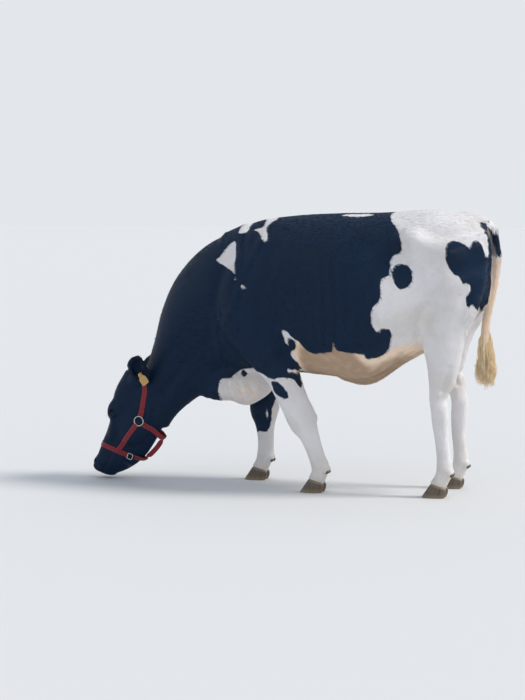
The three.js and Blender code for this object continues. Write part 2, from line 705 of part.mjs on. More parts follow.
let trunk = behindNeck;
for (const leg of legs) {
  let rest = behindNeck.intersect(legSpace(leg));
  trunk = trunk.subtract(legSpace(leg, GAP));
  const middle = jointAt(leg, leg.hind ? CUTS.hock : CUTS.knee);
  const fetlock = jointAt(leg, CUTS.fetlock);
  const coronet = coronetPlane(leg);
  const [below, upper] = parted(rest, middle.point, middle.up);
  const [foot, lower] = parted(below, fetlock.point, fetlock.up);
  const [, pastern] = parted(foot, coronet.point, coronet.normal);
  add(`${leg.name}_upper`, upper, "coatWhite");
  add(`${leg.name}_lower`, lower, "coatWhite");
  add(`${leg.name}_pastern`, pastern, "coatWhite");
  for (const [name, outward] of [["outer", 1], ["inner", -1]]) {
    const inward = outward * leg.side;
    const [horn] = parted(claw(leg, inward), coronet.point, coronet.normal);
    add(`${leg.name}_claw_${name}`, horn, "horn");
    add(`${leg.name}_dewclaw_${name}`, dewclaw(leg, inward).subtract(legSolid(leg, GAP)), "horn");
  }
}
add("trunk", trunk, "coatBlack");

const grown = headSolid(GAP).add(neckSolid(GAP));
for (const [name, side] of [["left", -1], ["right", 1]]) {
  add(`ear_${name}`, ear(side).subtract(grown), "coatBlack");
  add(`eye_${name}`, eyeball(side), "eye");
}

const [dock, tailSwitch] = [dockSolid(), switchSolid()];
const bodyGrown = trunkSolid(GAP).add(legSolid(legs[0], GAP)).add(legSolid(legs[1], GAP));
const tailJoint = { point: [763, -12, 805], down: [0.02, 0, -1] };
const clearDock = dock.subtract(bodyGrown);
add("tail_dock", parted(clearDock, tailJoint.point, tailJoint.down)[0], "coatWhite");
add("tail_switch", parted(tailSwitch, tailJoint.point, tailJoint.down)[1], "coatWhite");

const ears = ear(-1, GAP + 1).add(ear(1, GAP + 1));
for (const [name, solid] of Object.entries(strapSolids())) {
  add(`halter_${name}`, solid.subtract(ears), "webbing");
}
const bands = strapLayer(true).add(headSolid(GAP)).add(neckSolid(GAP));
add("halter_jaw", jawStrap().subtract(bands), "webbing");
for (const [name, side] of [["left", -1], ["right", 1]]) {
  add(`halter_ring_${name}`, ring(side, PATHS.ring, RING.radius, RING.wire, 14), "steel");
  add(`halter_link_${name}`, ring(side, PATHS.link, 19, 2.6, 4), "steel");
}
const [tagPlate, tagStud] = tagSolids();
add("ear_tag", tagPlate.subtract(ears), "tagPlastic");
add("ear_tag_stud", tagStud.subtract(ears), "tagPlastic");

const bounds = new THREE.Box3().setFromObject(group);
const middle = bounds.getCenter(new THREE.Vector3());
for (const mesh of group.children) mesh.geometry.translate(-middle.x, -middle.y, 0);

export default group;
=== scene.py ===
"""A Holstein cow in a red halter, standing with its head down to feed.

Lengths below are in millimetres in the drawing frame: X runs from the muzzle to the tail, Y to the
cow's right side, Z up from the floor. Meshes are made in metres, moved along X to the CAD frame.
"""

from __future__ import annotations

import logging
import math
from dataclasses import dataclass, field
from enum import IntEnum
from functools import partial
from typing import Callable, Iterable, Sequence

import bpy
import numpy as np
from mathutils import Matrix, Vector


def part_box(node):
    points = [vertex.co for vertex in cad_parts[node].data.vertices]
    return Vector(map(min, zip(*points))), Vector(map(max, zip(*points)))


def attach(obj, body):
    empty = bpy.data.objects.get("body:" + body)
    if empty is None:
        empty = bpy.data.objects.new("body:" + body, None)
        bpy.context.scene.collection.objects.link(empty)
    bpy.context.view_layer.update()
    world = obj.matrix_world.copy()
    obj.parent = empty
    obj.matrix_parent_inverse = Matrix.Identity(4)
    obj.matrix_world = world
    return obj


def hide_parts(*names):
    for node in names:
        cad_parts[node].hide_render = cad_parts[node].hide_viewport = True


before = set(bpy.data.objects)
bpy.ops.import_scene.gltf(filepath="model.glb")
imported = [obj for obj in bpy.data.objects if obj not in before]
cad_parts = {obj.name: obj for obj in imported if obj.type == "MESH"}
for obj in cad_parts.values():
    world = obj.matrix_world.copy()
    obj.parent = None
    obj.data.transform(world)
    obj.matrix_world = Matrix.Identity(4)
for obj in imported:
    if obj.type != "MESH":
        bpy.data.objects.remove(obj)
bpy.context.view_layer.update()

log = logging.getLogger("cow")

Array = np.ndarray
Pair = tuple[Array, Array]
Triple = tuple[float, float, float]
Spot = tuple[float, float]
Thing = bpy.types.Object
Tree = bpy.types.NodeTree
Socket = bpy.types.NodeSocket
Adder = Callable[..., Socket]
SIDES = {-1: "left", 1: "right"}
FAR = math.inf
ACROSS = np.array([0.0, 1.0, 0.0])
EYE_CENTRE = (-1222.0, 85.0, 356.0)
EYE_RADIUS = 22.5


def frame_shift() -> float:
    """How far the CAD frame lies from the drawing frame along X, in metres."""
    low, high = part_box("eye_left")
    return (low.x + high.x) / 2 - EYE_CENTRE[0] * 0.001


SHIFT = frame_shift()


# ---- small maths


def unit(v: Array) -> Array:
    """Vectors scaled to length one along the last axis."""
    return v / np.maximum(np.linalg.norm(v, axis=-1, keepdims=True), 1e-12)


def columns(*parts: Array) -> Array:
    """Arrays side by side along a second axis."""
    return np.stack(parts, axis=1)


def dots(a: Array, b: Array) -> Array:
    """The dot product of each row of a with the same row of b."""
    return np.einsum("ij,ij->i", a, b)


def square_to(axis: Array, v: Sequence[float]) -> Array:
    """The part of a direction that is square to a unit axis, at length one."""
    return unit(v - axis * np.dot(v, axis))


def circle(count: int) -> Array:
    """Angles at equal steps once round, in radians."""
    return np.arange(count) / count * 2 * np.pi


def travelled(path: Array) -> Array:
    """How far along a path each of its points lies."""
    return np.concatenate([[0], np.cumsum(np.linalg.norm(np.diff(path, axis=0), axis=1))])


def bell(p: Array, centre: Sequence[float], radii: Sequence[float]) -> Array:
    """exp(-|q|^2), where q is the offset from a centre with each axis divided by its radius."""
    return np.exp(-(((p - centre) / radii) ** 2).sum(axis=1))


def ease(low: float, high: float, x: Array) -> Array:
    """0 below low, 1 above high, and 3t^2 - 2t^3 between."""
    t = np.clip((x - low) / (high - low), 0, 1)
    return t * t * (3 - 2 * t)


def smooth_min(a: Array, b: Array, reach: float) -> Array:
    """The lower of two fields, melted where they differ by less than reach: min - h^2 reach / 4."""
    h = np.maximum(reach - np.abs(a - b), 0) / reach
    return np.minimum(a, b) - h * h * reach / 4


def catmull(points: Array, t: Array) -> Array:
    """Values at places t (0 to rows - 1) on a cubic through the rows of points."""
    last = len(points) - 1
    place = np.clip(t, 0, last - 1e-9)
    i = np.floor(place).astype(int)
    f = (place - i)[:, None]
    a, b, c, d = (points[np.clip(i + k, 0, last)] for k in (-1, 0, 1, 2))
    from_, to = (c - a) / 2, (d - b) / 2
    return (
        b * (2 * f**3 - 3 * f**2 + 1)
        + from_ * (f**3 - 2 * f**2 + f)
        + c * (3 * f**2 - 2 * f**3)
        + to * (f**3 - f**2)
    )


def ripple(p: Array, size: float, seed: float = 0.0) -> Array:
    """A wavy field from about -1 to 1: three crossed sines of the place over a size in mm."""
    q = p / size * 2 * np.pi
    x, y, z = q[:, 0] + seed, q[:, 1] + 2 * seed, q[:, 2] + 3 * seed
    return (
        np.sin(x + 1.7 * np.sin(0.6 * z + seed))
        + np.sin(z + 1.3 * np.sin(0.7 * y + x * 0.4))
        + np.sin(y + 1.1 * np.sin(0.5 * x - seed))
    ) / 3


# ---- meshes


def make_piece(
    name: str, points: Array, faces: Array, slot: str, replaced: Sequence[str] = (), uv: Array | None = None,
    uv_name: str = "Surface", values: dict[str, Array] | None = None, smooth: bool = True,
) -> Thing:
    """Makes a mesh piece that rides on the cow.

    Args:
        name: the piece's name.
        points: vertices in mm in the drawing frame.
        faces: vertex numbers, one row a face.
        slot: the record's material slot; not used.
        replaced: the CAD nodes that it stands for.
        uv: a pair of texture coordinates for each vertex.
        uv_name: the name of that map.
        values: numbers per vertex by attribute name.
        smooth: whether its faces shade smoothly.

    Returns:
        The object, at the origin.
    """
    mesh = bpy.data.meshes.new(name)
    count, corners = faces.shape
    placed = np.asarray(points, np.float64) * 0.001 + np.array([SHIFT, 0.0, 0.0])
    mesh.vertices.add(len(placed))
    mesh.vertices.foreach_set("co", placed.astype(np.float32).ravel())
    mesh.loops.add(count * corners)
    mesh.loops.foreach_set("vertex_index", faces.astype(np.int32).ravel())
    mesh.polygons.add(count)
    mesh.polygons.foreach_set("loop_start", np.arange(count, dtype=np.int32) * corners)
    mesh.polygons.foreach_set("use_smooth", np.full(count, smooth))
    if uv is not None:
        layer = mesh.uv_layers.new(name=uv_name)
        layer.data.foreach_set("uv", uv[faces.ravel()].astype(np.float32).ravel())
    for key, numbers in (values or {}).items():
        attribute = mesh.attributes.new(key, "FLOAT", "POINT")
        attribute.data.foreach_set("value", numbers.astype(np.float32))
    mesh.update(calc_edges=True)
    piece = bpy.data.objects.new(name, mesh)
    bpy.context.scene.collection.objects.link(piece)
    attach(piece, "root")
    if replaced:
        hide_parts(*replaced)
    return piece


def grid_faces(rows: int, wide: int, closed_rows: bool = False, closed_columns: bool = False) -> Array:
    """Quads of a grid whose vertices are numbered row by row.

    Args:
        rows: how many rows of vertices.
        wide: how many vertices in a row.
        closed_rows: whether the last row joins the first.
        closed_columns: whether each row's last vertex joins its first.
    """
    r, c = np.arange(rows if closed_rows else rows - 1), np.arange(wide if closed_columns else wide - 1)
    r, c = (g.ravel() for g in np.meshgrid(r, c, indexing="ij"))
    r1, c1 = (r + 1) % rows, (c + 1) % wide
    return columns(r * wide + c, r * wide + c1, r1 * wide + c1, r1 * wide + c)


def closed_tube(rings: Array) -> Pair:
    """Vertices and quads of a closed surface over a stack of rings, each end drawn in to its middle."""
    first, last = (np.repeat(r.mean(axis=0, keepdims=True), len(r), axis=0) for r in rings[[0, -1]])
    stack = np.concatenate([first[None], rings, last[None]])
    rows, wide = stack.shape[:2]
    faces = grid_faces(rows, wide, closed_columns=True)
    end = (rows - 1) * wide
    faces = np.where(faces < wide, 0, np.where(faces >= end, end, faces))
    keep = np.concatenate([[0], np.arange(wide, end), [end]])
    return stack.reshape(-1, 3)[keep], np.searchsorted(keep, faces)


def diagonals(points: Array, quads: Array) -> Array:
    """The crossed diagonals of each quad: its normal, twice as long as its area."""
    a, b, c, d = (points[quads[:, k]] for k in range(4))
    return np.cross(c - a, d - b)


def facing_out(points: Array, quads: Array) -> Array:
    """A closed surface's quads split in two and turned, all together, so that it holds a positive volume."""
    parts = np.concatenate([quads[:, [0, 1, 2]], quads[:, [0, 2, 3]]])
    parts = parts[(parts != np.roll(parts, 1, axis=1)).all(axis=1)]
    a, b, c = (points[parts[:, k]] - points.mean(axis=0) for k in range(3))
    return parts if dots(a, np.cross(b, c)).sum() > 0 else parts[:, ::-1]


def solid(rings: Array) -> Pair:
    """A closed tube over a stack of rings, in triangles that face out."""
    points, faces = closed_tube(rings)
    return points, facing_out(points, faces)


def merged(shells: Sequence[Pair]) -> Pair:
    """Several shells of (vertices, faces) as one, with the vertex numbers carried on."""
    starts = np.cumsum([0, *(len(p) for p, _ in shells)])
    faces = [f + start for (_, f), start in zip(shells, starts)]
    return np.concatenate([p for p, _ in shells]), np.concatenate(faces)


# ---- flesh as a field


def stations(*rows: Sequence[float]) -> Array:
    """Rows of (x, y, z, up, down, side, square up, square down), round where left out."""
    return np.array([list(r) + [2.0] * (8 - len(r)) for r in rows], float)


@dataclass(frozen=True)
class Limb:
    """A body along a spine: each station gives a place, its reach above, below and to each side.

    A point's distance is measured from the spine: with q the offset and k its superellipse norm
    ((|v|/side)^n + (|u|/up)^n)^(1/n), it is |q| (1 - 1/k). Past an end, k also counts the overshoot
    over the cap's reach.
    """

    rows: Array
    caps: tuple[float, float]
    blend: float = 40.0
    upright: bool = False
    coat: float = 6.0
    fineness: int = 6

    def dense(self) -> tuple[Array, ...]:
        """Closely spaced rows on the cubic through the stations, with tangent, across and rise."""
        last = len(self.rows) - 1
        rows = catmull(self.rows, np.linspace(0, last, last * self.fineness + 1))
        along = np.tile([1.0, 0, 0], (len(rows), 1)) if self.upright else np.gradient(rows[:, :3], axis=0)
        tangent = unit(along)
        across = unit(ACROSS - tangent * tangent[:, 1:2])
        return rows, tangent, across, np.cross(tangent, across)

    def box(self, margin: float) -> Pair:
        """The lowest and highest corner of the space where this limb counts."""
        reach = self.rows[:, 3:6].max(axis=1, keepdims=True)
        extra = margin + max(self.caps) * 0.3
        return (self.rows[:, :3] - reach).min(axis=0) - extra, (self.rows[:, :3] + reach).max(axis=0) + extra

    def place(self, p: Array) -> tuple[Array, ...]:
        """For each point, its own row, then its offset v across, u up and w past an end.

        The row lies between the nearest dense row and the next one on the point's side, by the point's
        distances from the planes square to the spine there.
        """
        rows, tangent, across, rise = self.dense()
        last = len(rows) - 1
        if self.upright:
            t = np.interp(p[:, 0], rows[:, 0], np.arange(len(rows)))
        else:
            far = (p * p).sum(1)[:, None] - 2 * p @ rows[:, :3].T + (rows[:, :3] ** 2).sum(1)
            near = far.argmin(axis=1)
            gap = dots(p - rows[near, :3], tangent[near])
            step = np.where(gap > 0, 1, -1)
            other = np.clip(near + step, 0, last)
            beyond = dots(p - rows[other, :3], tangent[other])
            crossed = np.where(gap * beyond < 0, gap / np.where(gap == beyond, 1, gap - beyond), 1.0)
            t = np.clip(near + step * np.where(other == near, 0.0, crossed), 0, last)
        i = np.minimum(t.astype(int), last - 1)
        f = (t - i)[:, None]

        def mix(a: Array) -> Array:
            """A row's values between its two dense neighbours."""
            return a[i] * (1 - f) + a[i + 1] * f

        row = mix(rows)
        q = p - row[:, :3]
        w = dots(q, unit(mix(tangent)))
        w = np.where(t <= 1e-6, np.minimum(w, 0), np.where(t >= last - 1e-6, np.maximum(w, 0), 0))
        return row, dots(q, mix(across)), dots(q, mix(rise)), w

    def distance(self, p: Array) -> Array:
        """The field of this limb at the points, below zero inside."""
        row, v, u, w = self.place(p)
        above = u >= 0
        reach = np.where(above, row[:, 3], row[:, 4])
        power = np.where(above, row[:, 6], row[:, 7])
        rho = ((np.abs(v) / row[:, 5]) ** power + (np.abs(u) / reach) ** power) ** (1 / power)
        cap = np.where(w < 0, self.caps[0], self.caps[1])
        k = np.maximum(np.hypot(rho, w / cap), 1e-3)
        return np.sqrt(v * v + u * u + w * w) * (1 - 1 / k) + self.coat

    def unwrap(self, p: Array) -> Array:
        """Share of the way along the spine and round it, both from 0 to 1."""
        _, v, u, _ = self.place(p)
        along = np.arange(len(self.rows), dtype=float)
        axis = int(np.ptp(self.rows[:, :3], axis=0).argmax())
        order = np.argsort(self.rows[:, axis])
        share = np.interp(p[:, axis], self.rows[order, axis], along[order]) / along[-1]
        return columns(share, np.arctan2(v, u) / (2 * np.pi) + 0.5)


@dataclass(frozen=True)
class Lump:
    """An ellipsoid with radii along X, Y and Z, pitched about Y by degrees."""

    centre: Triple
    radii: Triple
    pitch: float = 0.0
    blend: float = 24.0
    coat: float = 3.0

    def box(self, margin: float) -> Pair:
        """The lowest and highest corner of the space where this lump counts."""
        c = np.array(self.centre)
        return c - max(self.radii) - margin, c + max(self.radii) + margin

    def distance(self, p: Array) -> Array:
        """|q| (1 - 1/k), where k is the offset's length with each axis divided by its radius."""
        a = math.radians(self.pitch)
        q = p - np.array(self.centre)
        x = q[:, 0] * math.cos(a) - q[:, 2] * math.sin(a)
        z = q[:, 0] * math.sin(a) + q[:, 2] * math.cos(a)
        k = np.sqrt((x / self.radii[0]) ** 2 + (q[:, 1] / self.radii[1]) ** 2 + (z / self.radii[2]) ** 2)
        k = np.maximum(k, 1e-3)
        return np.linalg.norm(q, axis=1) * (1 - 1 / k) + self.coat


@dataclass(frozen=True)
class Hollow:
    """An ellipsoid taken away, with its axes given as unit rows."""

    centre: Array
    axes: Array
    radii: Triple
    blend: float = 4.0

    def distance(self, p: Array) -> Array:
        """The same measure as a lump's, in the hollow's own axes."""
        q = (p - self.centre) @ self.axes.T
        k = np.maximum(np.linalg.norm(q / np.array(self.radii), axis=1), 1e-3)
        return np.linalg.norm(q, axis=1) * (1 - 1 / k)


@dataclass(frozen=True)
class Stroke:
    """A ridge (height above zero) or groove along a line: height exp(-(d / radius)^2)."""

    line: Array
    radius: float
    height: float

    def rise(self, p: Array) -> Array:
        """How far the stroke lifts the surface at each point."""
        low, high = self.line.min(axis=0) - 2.4 * self.radius, self.line.max(axis=0) + 2.4 * self.radius
        near = np.all((p > low) & (p < high), axis=1)
        out = np.zeros(len(p))
        if not near.any():
            return out
        q, best = p[near], np.full(near.sum(), np.inf)
        for a, b in zip(self.line[:-1], self.line[1:]):
            ab = b - a
            t = np.clip((q - a) @ ab / max(ab @ ab, 1e-9), 0, 1)
            best = np.minimum(best, ((q - a - t[:, None] * ab) ** 2).sum(axis=1))
        out[near] = self.height * np.exp(-best / self.radius**2)
        return out


FORE_SPREAD, HIND_SPREAD = 178.0, 172.0

TRUNK = Limb(stations(
    (-610, 0, 900, 420, 280, 150, 1.8, 2.2), (-500, 0, 900, 466, 300, 196, 1.75, 2.2),
    (-400, 0, 905, 492, 305, 226, 1.75, 2.2), (-280, 0, 905, 508, 310, 254, 1.8, 2.2),
    (-150, 0, 900, 524, 308, 286, 1.9, 2.2), (0, 0, 895, 535, 315, 320, 2.0, 2.2),
    (110, 0, 890, 542, 330, 335, 2.05, 2.15), (220, 0, 900, 534, 320, 331, 2.1, 2.1),
    (320, 0, 925, 514, 276, 310, 2.15, 2.1), (420, 0, 965, 484, 258, 280, 2.3, 2.1),
    (500, 0, 1005, 446, 250, 258, 2.45, 2.1), (600, 0, 1050, 391, 250, 232, 2.4, 2.1),
    (690, 0, 1080, 348, 218, 190, 2.2, 2.1), (765, 0, 1110, 292, 152, 128, 2.0, 2.1),
), caps=(60, 34), upright=True)
NECK = Limb(stations(
    (-1088, 0, 362, 60, 168, 72, 2, 2), (-1050, 0, 440, 100, 184, 84, 2, 2),
    (-990, 0, 555, 92, 234, 96, 1.8, 2), (-905, 0, 690, 130, 288, 108, 1.7, 2),
    (-820, 0, 820, 186, 335, 130, 1.7, 2), (-720, 0, 925, 244, 372, 160, 1.7, 2),
    (-600, 0, 990, 302, 380, 190, 1.75, 2.1), (-470, 0, 1010, 355, 380, 205, 1.8, 2.1),
), caps=(40, 40), blend=50, coat=5)
HEAD = Limb(stations(
    (-1318, 0, 60, 44, 90, 60, 2.6, 2.2), (-1296, 0, 110, 47, 142, 64, 2.6, 2.0),
    (-1267, 0, 176, 50, 186, 62, 2.6, 1.8), (-1231, 0, 257, 52, 214, 74, 2.6, 1.7),
    (-1196, 0, 348, 58, 230, 92, 2.8, 1.7), (-1159, 0, 446, 80, 228, 97, 2.7, 1.8),
    (-1112, 0, 545, 77, 180, 84, 2.3, 2.0),
), caps=(34, 34), blend=30, coat=3)
BRISKET = Limb(stations(
    (-720, 0, 505, 90, 62, 44), (-660, 0, 505, 110, 72, 66), (-580, 0, 505, 130, 72, 84),
    (-500, 0, 500, 140, 88, 86), (-430, 0, 510, 150, 60, 80), (-365, 0, 550, 140, 42, 74),
    (-290, 0, 605, 110, 44, 84),
), caps=(38, 40), blend=45)
BELLY_FOLD = Limb(stations(
    (40, 0, 605, 40, 42, 34), (95, 0, 605, 50, 60, 46), (150, 0, 608, 50, 64, 44),
    (215, 0, 645, 45, 56, 36), (310, 0, 705, 40, 52, 30), (410, 0, 760, 35, 52, 26),
), caps=(34, 20), blend=50)
TAIL_HEAD = Limb(stations(
    (640, 0, 1385, 42, 60, 60), (700, 0, 1376, 46, 60, 52), (752, 0, 1362, 44, 50, 42),
    (790, 0, 1330, 42, 40, 35),
), caps=(40, 22), blend=26)
DOCK = Limb(stations(
    (800, 0, 1318, 28, 34, 33), (806, -2, 1266, 30, 32, 32), (813, -6, 1204, 33, 33, 33),
    (808, -9, 1130, 31, 31, 31), (796, -12, 1050, 29, 29, 29), (781, -12, 970, 27, 27, 27),
    (768, -12, 890, 25, 25, 25), (763, -12, 810, 27, 27, 27), (761, -12, 740, 27, 27, 26),
), caps=(40, 60), blend=16, coat=8)


def shoulder(side: int) -> Limb:
    """The shoulder blade and upper arm; the left one swings back with its leg."""
    s = 60 if side < 0 else -50
    rows = stations(
        (-378, side * 76, 1275, 92, 110, 36),
        (-415 + s * 0.1, side * 138, 1150, 130, 134, 58),
        (-462 + s * 0.2, side * 172, 1020, 148, 142, 66),
        (-490 + s * 0.3, side * 188, 890, 158, 124, 68),
        (-430 + s * 0.5, side * 192, 780, 145, 115, 70),
        (-360 + s * 0.8, side * 186, 690, 118, 112, 68),
    )
    return Limb(rows, caps=(50, 60), blend=30)


def pelvis(side: int) -> Limb:
    """The side of the pelvis, from in front of the hook bone back to the pin bone."""
    rows = stations(
        (325, side * 158, 1262, 42, 90, 44),
        (415, side * 196, 1292, 68, 110, 66),
        (510, side * 192, 1256, 72, 130, 68),
        (615, side * 180, 1226, 78, 140, 74),
        (705, side * 142, 1250, 74, 110, 62),
        (772, side * 104, 1268, 58, 84, 48),
    )
    return Limb(rows, caps=(46, 34), blend=28)


# Height, middle along X, reach back and front, half width, and bow outwards.
HIND_PROFILE = (
    (1250, 640, 155, 120, 60, -40), (1150, 620, 172, 150, 92, -30), (1060, 615, 172, 160, 108, -20),
    (980, 612, 148, 160, 108, -12), (890, 592, 134, 150, 98, -8), (810, 586, 112, 128, 84, -5),
    (735, 578, 102, 103, 70, -3), (675, 572, 98, 79, 60, -1), (600, 566, 84, 62, 50, 0),
    (540, 560, 60, 52, 45, 0), (494, 556, 48, 46, 44, 0), (440, 563, 48, 46, 42, 0),
    (370, 569, 45, 44, 36, 0), (290, 577, 38, 38, 31, 0), (210, 586, 39, 38, 31, 0),
    (140, 592, 47, 44, 40, 0), (100, 580, 43, 41, 40, 0), (62, 562, 42, 46, 44, 0),
)
RIGHT_HIND_SHIFT = (0, 0, 0, -8, -16, -26, -34, -38, -30, 10, 34, 36, 26, 16, 16, 16, 16, 16)
# Height, reach back and front, half width, and bow outwards; then the middles along X by side.
FORE_PROFILE = (
    (760, 95, 110, 62, -6), (670, 105, 110, 68, -4), (590, 88, 95, 66, -2), (520, 80, 88, 60, 0),
    (450, 76, 82, 55, 0), (393, 79, 83, 55, 0), (348, 73, 77, 52, 0), (298, 56, 59, 41, 0),
    (238, 48, 49, 35, 0), (180, 47, 46, 35, 0), (132, 50, 48, 42, 0), (95, 44, 45, 42, 0),
    (62, 42, 46, 44, 0),
)
FORE_LINES = {
    -1: (-330, -290, -247, -216, -184, -157, -139, -114, -91, -71, -54, -58, -72),
    1: (-445, -445, -445, -450, -457, -460, -458, -455, -452, -452, -455, -466, -482),
}


def leg(side: int, hind: bool) -> Limb:
    """A leg from the body down to the coronet, its rise pointing back."""
    if hind:
        rows = [
            (m + (RIGHT_HIND_SHIFT[i] if side > 0 else 0), side * (HIND_SPREAD + bow), z, back, front, half)
            for i, (z, m, back, front, half, bow) in enumerate(HIND_PROFILE)
        ]
    else:
        rows = [
            (FORE_LINES[side][i], side * (FORE_SPREAD + bow), z, back, front, half)
            for i, (z, back, front, half, bow) in enumerate(FORE_PROFILE)
        ]
    return Limb(stations(*rows), caps=(60, 26), blend=34 if hind else 30, coat=3.5, fineness=5)


class Part(IntEnum):
    """The parts of the skin that are unwrapped and combed on their own."""

    TRUNK = 0
    NECK = 1
    HEAD = 2
    LEFT_HIND = 3
    RIGHT_HIND = 4
    LEFT_FORE = 5
    RIGHT_FORE = 6
    TAIL = 7


LEGS = {
    Part.LEFT_HIND: leg(-1, True),
    Part.RIGHT_HIND: leg(1, True),
    Part.LEFT_FORE: leg(-1, False),
    Part.RIGHT_FORE: leg(1, False),
}
MAIN_LIMBS = {Part.TRUNK: TRUNK, Part.NECK: NECK, Part.HEAD: HEAD, **LEGS, Part.TAIL: DOCK}


def eye_axes(side: int) -> Array:
    """Rows along the slit of the eye (towards the ear), up to the brow, and outwards."""
    out = unit(np.array([-0.30, side * 0.95, 0.04]))
    slit = square_to(out, [0.42, side * 0.10, 0.90])
    brow = np.cross(out, slit) * side
    brow = brow if brow[0] < 0 else -brow
    return np.stack([slit, brow, out])


def nostril_hollows(side: int) -> list[Hollow]:
    """One nostril's comma: a round front part and a thinner tail that curls up and out."""
    main = unit(np.array([-0.78, side * 0.62, -0.05]))
    long = square_to(main, [0.30, side * 0.42, 0.86])
    axes = np.stack([long, np.cross(main, long), main])
    return [
        Hollow(np.array([-1345.0, side * 40, 78.0]), axes, (14, 9.5, 20), 5),
        Hollow(np.array([-1337.0, side * 53, 96.0]), axes, (13, 5.5, 12), 4),
    ]


@dataclass(frozen=True)
class Flesh:
    """The whole animal under its coat: limbs and lumps melted together, less its hollows."""

    loose: bool = False
    limbs: tuple[Limb, ...] = (
        TRUNK, NECK, BRISKET, BELLY_FOLD, shoulder(-1), shoulder(1), pelvis(-1), pelvis(1), *LEGS.values(),
        TAIL_HEAD, DOCK, HEAD,
    )

    def lumps(self) -> list[Lump]:
        """Brows, cheeks, nostrils, ear roots, udder, dewclaws, and slack under loose straps."""
        found = []
        for side in SIDES:
            found += [
                Lump((-1216, side * 72, 378), (44, 33, 58), 20),
                Lump((-1116, side * 56, 290), (80, 40, 104), 25, 30),
                Lump((-1318, side * 38, 84), (38, 30, 44), 20, 14, 2),
                Lump((-1096, side * 72, 535), (40, 34, 44), 20, 20, 4),
                Lump((540, side * 44, 790), (86, 52, 86), 0, 30, 4),
            ]
        for limb in LEGS.values():
            x, y, z, back = limb.rows[-3][:4]
            found += [Lump((x + back - 16, y + side * 21, z - 12), (17, 15, 22), 0, 9, 2) for side in SIDES]
        if self.loose:
            found += [Lump((-1085, 0, 140), (42, 38, 40)), Lump((-992, 0, 250), (44, 34, 40))]
        return found

    def hollows(self) -> list[Hollow]:
        """Nostrils and the openings that the eyes look out of."""
        found = []
        for side in SIDES:
            found += nostril_hollows(side)
            axes = eye_axes(side)
            centre = np.array(EYE_CENTRE) * [1, side, 1]
            found.append(Hollow(centre + axes[2] * 16, axes, (21.5, 14.5, 20), 4))
        return found

    def value(self, p: Array) -> Array:
        """The field at points in mm, below zero inside the skin."""
        out = np.full(len(p), 250.0)
        for part in [*self.limbs, *self.lumps()]:
            low, high = part.box(part.blend + 12)
            near = np.all((p > low) & (p < high), axis=1)
            if near.any():
                out[near] = smooth_min(out[near], part.distance(p[near]), part.blend)
        for hollow in self.hollows():
            reach = max(hollow.radii) + 14
            near = np.all(np.abs(p - hollow.centre) < reach, axis=1)
            if near.any():
                out[near] = -smooth_min(-out[near], hollow.distance(p[near]), hollow.blend)
        return out

    def gradient(self, p: Array, step: float = 1.5) -> Array:
        """Central differences of the field over a step."""
        return columns(*((self.value(p + d) - self.value(p - d)) / (2 * step) for d in np.eye(3) * step))

    def laid(self, p: Array, height: float | Array, rounds: int = 6) -> Pair:
        """Points moved along the field's slope to a height above the skin, and the normals there.

        Args:
            p: the points.
            height: in mm, below zero inside.
            rounds: how many times they step to it.
        """
        p = p.copy()
        for _ in range(rounds):
            g = self.gradient(p)
            size = np.maximum((g * g).sum(axis=1), 0.05)
            p -= g * ((self.value(p) - height * np.sqrt(size)) / size)[:, None]
        return p, unit(self.gradient(p))


